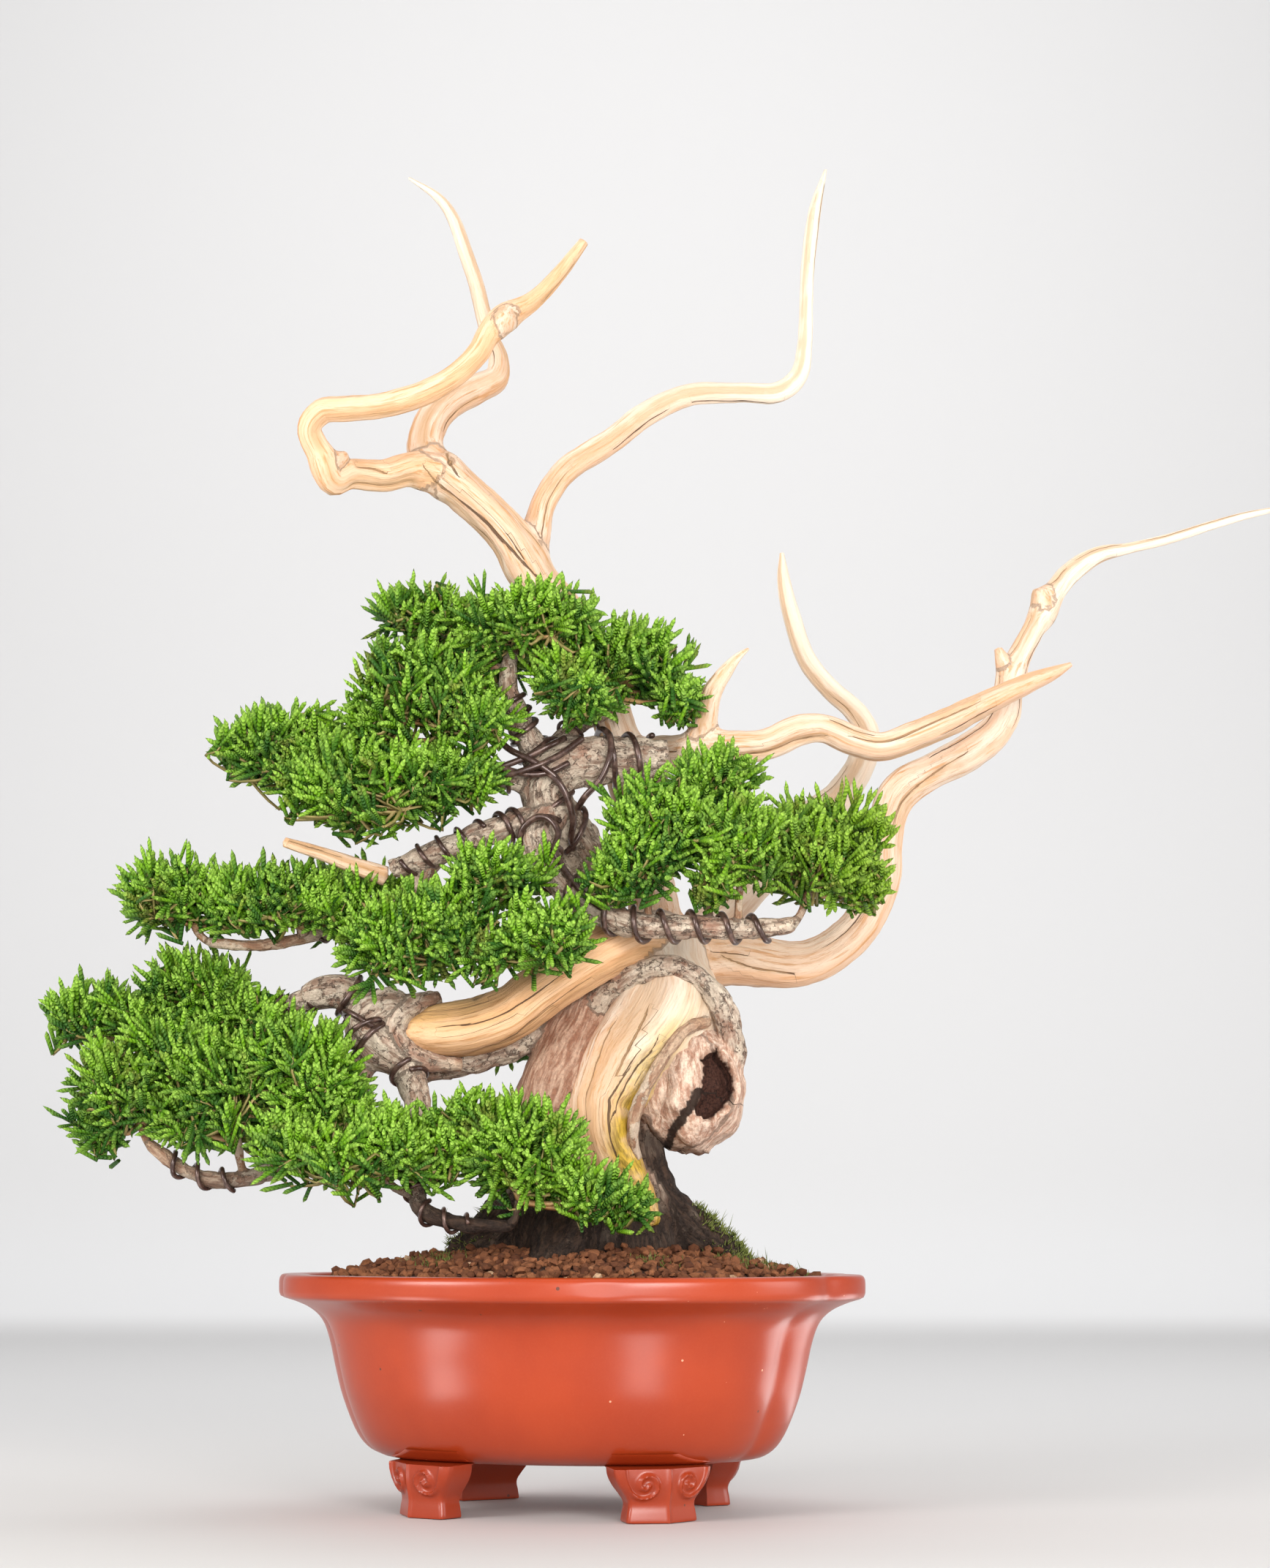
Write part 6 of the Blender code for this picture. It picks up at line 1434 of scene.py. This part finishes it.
def scatter(draw, spacing, inner):
    """Jittered even grid of places on the soil, clear of the wood."""
    xs, ys = np.meshgrid(np.arange(-116.0, 116.0, spacing), np.arange(-90.0, 90.0, spacing * 0.87))
    xs = xs + (np.arange(xs.shape[0]) % 2)[:, None] * spacing / 2.0
    x = xs.ravel() + draw.uniform(-0.45, 0.45, xs.size) * spacing
    y = ys.ravel() + draw.uniform(-0.45, 0.45, xs.size) * spacing
    reach, height = on_soil(x, y)
    keep = reach < inner
    across, back = in_pot(x[keep], y[keep])
    return np.stack([across, back, height[keep]], axis=1), reach[keep]


base_limbs = [named_limbs[name] for name in ("trunk", "right_root", "left_root", "front_root", "rear_root")]
seed_ball = bmesh.new()
bmesh.ops.create_icosphere(seed_ball, subdivisions=1, radius=1.0)
pebble_points = np.array([vert.co for vert in seed_ball.verts])
pebble_faces = np.array([[vert.index for vert in face.verts] for face in seed_ball.faces])
seed_ball.free()


def pebbles(name, places, size, draw, tall=0.8):
    """Rough grains at places."""
    count = len(places)
    lumps = 1.0 + draw.uniform(-0.22, 0.22, (count, len(pebble_points), 1))
    shape = pebble_points[None, :, :] * lumps * np.array([1.0, 1.0, tall])
    turn = draw.uniform(0.0, 2.0 * np.pi, count)
    tilt = draw.uniform(-0.9, 0.9, count)
    cos_t, sin_t = np.cos(turn)[:, None], np.sin(turn)[:, None]
    cos_p, sin_p = np.cos(tilt)[:, None], np.sin(tilt)[:, None]
    x, y, z = shape[..., 0] * draw.uniform(0.85, 1.35, (count, 1)), shape[..., 1], shape[..., 2]
    y, z = y * cos_p - z * sin_p, y * sin_p + z * cos_p
    x, y = x * cos_t - y * sin_t, x * sin_t + y * cos_t
    points = places[:, None, :] + np.stack([x, y, z], axis=-1) * size[:, None, None]
    faces = (pebble_faces[None] + (np.arange(count) * len(pebble_points))[:, None, None]).reshape(-1, 3)
    tones = np.repeat(draw.uniform(0.0, 1.0, count), len(pebble_points))
    made = mesh_object(name, points.reshape(-1, 3), faces.tolist(), {"tone": tones})
    made.data.set_sharp_from_angle(angle=math.radians(38.0))
    return made


draw = np.random.default_rng(12)
places, _ = scatter(draw, GRAIN_SPACING, 0.985)
gaps, _ = reach_of(places, base_limbs)
places = places[gaps.min(axis=1) > -2.0]
size = draw.uniform(1.35, 2.45, len(places))
places[:, 2] += size * draw.uniform(-0.1, 0.55, len(places)) - 0.2
ground = pebbles("soil_grains", places, size, draw)
places, _ = scatter(draw, LOOSE_SPACING, 0.97)
gaps, _ = reach_of(places, base_limbs)
places = places[gaps.min(axis=1) > 1.0]
size = draw.uniform(1.5, 2.4, len(places))
places[:, 2] += size * draw.uniform(0.8, 1.5, len(places))
loose_ground = pebbles("soil_grains_loose", places, size, draw)

fired, tree, shader = new_material("fired_soil")
grain_tone = attribute(tree, "tone")
crumbs = crumb_at(tree, object_place(tree), 700.0)
tone = blend(tree, grain_tone, colour(0.095, 0.034, 0.017), colour(0.30, 0.118, 0.052))
tone = blend(tree, remap(tree, grain_tone, 0.965, 0.985), tone, colour(0.55, 0.36, 0.22))
tone = blend(tree, remap(tree, crumbs, 0.4, 0.7, 0.0, 0.5), tone, colour(0.075, 0.028, 0.017))
fill(tree, shader, {"Base Color": tone, "Roughness": 0.93, "Specular IOR Level": 0.2,
                    "Normal": bump(tree, crumbs, 0.0006, 0.8)})
finish(ground, fired, "fired_soil")
finish(loose_ground, fired, "fired_soil")

earth, tree, shader = new_material("soil_ground")
crumbs = crumb_at(tree, object_place(tree), 500.0, 5.0)
# Dark soil, painted darker still than the grains as the shade in the gaps between them.
tone = blend(tree, remap(tree, crumbs, 0.35, 0.65), colour(0.028, 0.013, 0.009), colour(0.13, 0.055, 0.032))
fill(tree, shader, {"Base Color": tone, "Roughness": 0.95, "Normal": bump(tree, crumbs, 0.0012, 1.0)})
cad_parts["soil"].data.materials.clear()
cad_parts["soil"].data.materials.append(earth)


# Moss: cushions of fine green blades that have grown on the roots and on the damp soil at the trunk's foot.
# The blades stand close, each a thin three-sided spike, and a few are longer than the rest.
MOSS_SPOTS = [((-64, 117, -30), (17, 26, 8), 0.9), ((-50, 122, -26), (12, 20, 7), 0.6),
              ((74, 113, -8), (19, 30, 9), 1.0), ((60, 124, -6), (9, 14, 9), 1.0),
              ((92, 104, -16), (10, 16, 5), 0.6), ((20, 112, 48), (30, 18, 9), 0.7),
              ((-40, 112, 30), (18, 18, 8), 0.6), ((55, 112, 34), (18, 18, 8), 0.6),
              ((30, 108, -52), (16, 7, 4), 0.35)]
MOSS_BLADES = 5200
MOSS_TOP = 134.0
BLADE_RADIUS = 0.34
draw = np.random.default_rng(31)
wood_places = get_points(live_wood)
wood_normals = get_normals(live_wood)
low = np.flatnonzero((wood_places[:, 2] < MOSS_TOP) & (wood_normals[:, 2] > -0.1))
soil_places, _ = scatter(draw, 1.6, 0.97)
moss_places = np.vstack([wood_places[low], soil_places])
moss_normals = np.vstack([wood_normals[low], np.tile([0.0, 0.0, 1.0], (len(soil_places), 1))])
chance = np.zeros(len(moss_places))
for middle, half, much in MOSS_SPOTS:
    out = (moss_places - seen([middle])[0]) / np.array([half[0], half[1], half[2] * 1.6])
    chance = np.maximum(chance, much * np.clip(1.3 - np.linalg.norm(out, axis=1), 0.0, 1.0))
chance *= np.clip(0.5 + 1.5 * at_noise(moss_places, 7.0, 2), 0.0, 1.0)
picked = draw.choice(len(moss_places), MOSS_BLADES, p=chance / chance.sum())
spots = moss_places[picked] + draw.normal(0.0, 0.7, (MOSS_BLADES, 3))
ways = unit(moss_normals[picked] + draw.normal(0.0, 0.45, (MOSS_BLADES, 3)) + [0.0, 0.0, 0.5])
long_one = draw.random(MOSS_BLADES) < 0.012
length = draw.uniform(1.6, 3.6, MOSS_BLADES) + 4.5 * long_one
side = unit(np.cross(ways, [0.3, 0.5, 0.81]))
other = np.cross(ways, side)
blade_points = []
for k in range(3):
    turn = 2.0 * math.pi * k / 3.0
    blade_points.append(spots - ways * 0.5 + (side * math.cos(turn) + other * math.sin(turn)) * BLADE_RADIUS)
bow = draw.normal(0.0, 0.16, (MOSS_BLADES, 3))
blade_points.append(spots + (ways + bow) * length[:, None])
blades = np.stack(blade_points, axis=1)
first = (np.arange(MOSS_BLADES) * 4)[:, None, None]
blade_faces = (np.array([(0, 1, 3), (1, 2, 3), (2, 0, 3), (2, 1, 0)])[None] + first).reshape(-1, 3)
tones = np.repeat(draw.uniform(0.0, 1.0, MOSS_BLADES), 4)
tips = np.tile([0.0, 0.0, 0.0, 1.0], MOSS_BLADES)
cushions = mesh_object("moss_cushions", blades.reshape(-1, 3), blade_faces.tolist(),
                       {"tone": tones, "tipness": tips})
moss, tree, shader = new_material("moss")
tone = blend(tree, attribute(tree, "tone"), colour(0.045, 0.075, 0.018), colour(0.19, 0.22, 0.05))
tip_share = arithmetic(tree, "MULTIPLY", attribute(tree, "tipness"), 0.5)
tone = blend(tree, tip_share, tone, colour(0.32, 0.34, 0.09))
fill(tree, shader, {"Base Color": tone, "Roughness": 0.8, "Specular IOR Level": 0.15})
finish(cushions, moss, "scale_foliage")


# Studio: one roll of pale paper that runs under the pot and up behind it in a wide bend, soft box lamps round
# the tree, and the camera at the height of the pot's rim.
SENSOR_WIDTH = 36.0
LENS_LENGTH = 68.9
CAMERA_TILT = 98.32
FLOOR_HALF = 2600.0
SWEEP_START = 1800.0
SWEEP_RADIUS = 900.0
SWEEP_STEPS = 16
WALL_TOP = 3200.0
WARM, SUNNY, COOL, WHITE = (1.0, 0.985, 0.965), (1.0, 0.99, 0.97), (0.98, 0.99, 1.0), (1.0, 1.0, 1.0)
LAMPS = [("front", (0.10, -1.85, 0.40), (0.0, 0.0, 0.22), 0.9, 15.0, WARM),
         ("box_left", (-1.20, -0.90, 0.58), (0.0, 0.0, 0.20), 0.5, 9.0, WARM),
         ("box_right", (0.44, -1.40, 0.52), (0.0, 0.0, 0.20), 0.5, 11.0, WARM),
         ("key_left", (-1.25, -1.1, 0.80), (-0.05, 0.0, 0.22), 0.8, 7.6, SUNNY),
         ("fill_right", (1.45, -0.45, 0.45), (0.0, 0.0, 0.2), 0.8, 8.0, COOL),
         ("top", (0.05, 0.0, 1.85), (0.0, 0.0, 0.3), 1.0, 2.4, WHITE),
         ("backdrop_wash", (0.0, 0.75, 1.9), (0.0, 2.7, 0.42), 1.8, 27.5, WHITE)]
GLINT_HEIGHT = 0.004
GLINTS = [("table_glint_left", (-0.215, -0.121), -152.0, 0.12, 0.040, 0.085),
          ("table_glint_right", (0.020, -0.203), -74.0, 0.12, 0.040, 0.070),
          ("table_glint_side", (0.270, 0.085), 24.0, 0.30, 0.12, 0.40)]


def in_scene(name, data):
    """New object in the scene."""
    made = bpy.data.objects.new(name, data)
    bpy.context.scene.collection.objects.link(made)
    return made


lens = bpy.data.cameras.new("camera")
lens.sensor_width = SENSOR_WIDTH
lens.lens = LENS_LENGTH
camera = in_scene("camera", lens)
camera.location = (EYE + ORIGIN) * MM
camera.rotation_euler = (math.radians(CAMERA_TILT), 0.0, 0.0)
bpy.context.scene.camera = camera
bpy.context.scene.view_settings.view_transform = "Standard"

sweep_line = [(-FLOOR_HALF, 0.0), (0.0, 0.0), (SWEEP_START, 0.0)]
for k in range(1, SWEEP_STEPS + 1):
    bend = math.radians(90.0 * k / SWEEP_STEPS)
    rise = SWEEP_RADIUS * (1.0 - math.cos(bend))
    sweep_line.append((SWEEP_START + SWEEP_RADIUS * math.sin(bend), rise))
sweep_line.append((SWEEP_START + SWEEP_RADIUS, WALL_TOP))
paper_points = []
for y, z in sweep_line:
    paper_points += [(-FLOOR_HALF * MM, y * MM, z * MM), (FLOOR_HALF * MM, y * MM, z * MM)]
paper_faces = [(2 * i, 2 * i + 1, 2 * i + 3, 2 * i + 2) for i in range(len(sweep_line) - 1)]
paper_mesh = bpy.data.meshes.new("backdrop")
paper_mesh.from_pydata(paper_points, [], paper_faces)
paper_mesh.shade_smooth()
backdrop = in_scene("backdrop", paper_mesh)
paper, tree, shader = new_material("backdrop_paper")
here = add(tree, "ShaderNodeSeparateXYZ", {0: object_place(tree)})
depth, height = here.outputs[1], here.outputs[2]
# Painted light and shade: the paper's tone is graded to even out the lamps, darker on the floor and further
# back, lightest just above the floor, and a little darker up the wall.
tone = blend(tree, remap(tree, depth, -0.1, 0.8), colour(0.635, 0.618, 0.608), colour(0.575, 0.57, 0.57))
tone = blend(tree, remap(tree, height, 0.0, 0.025), tone, colour(0.755, 0.755, 0.76))
tone = blend(tree, remap(tree, height, 0.03, 0.20), tone, colour(0.715, 0.71, 0.71))
tone = blend(tree, remap(tree, height, 0.45, 1.1), tone, colour(0.705, 0.70, 0.70))
fill(tree, shader, {"Base Color": tone, "Roughness": 0.75})
backdrop.data.materials.append(paper)

world = bpy.data.worlds.new("studio")
world.use_nodes = True
sky = world.node_tree.nodes["Background"]
fill(world.node_tree, sky, {"Color": colour(0.98, 0.98, 0.985), "Strength": 0.50})
bpy.context.scene.world = world

for name, place, target, size, power, tint in LAMPS:
    light = bpy.data.lights.new(name, "AREA")
    light.size = size
    light.energy = power
    light.color = tint
    lamp = in_scene(name, light)
    lamp.location = place
    lamp.rotation_euler = (Vector(target) - Vector(place)).to_track_quat("-Z", "Y").to_euler()
for name, place, bearing, length, width, power in GLINTS:
    light = bpy.data.lights.new(name, "AREA")
    light.shape = "RECTANGLE"
    light.size = length
    light.size_y = width
    light.energy = power
    glint = in_scene(name, light)
    glint.location = (*place, GLINT_HEIGHT)
    glint.rotation_euler = (math.pi, 0.0, math.radians(bearing))
    glint.visible_camera = False
    glint.visible_diffuse = False
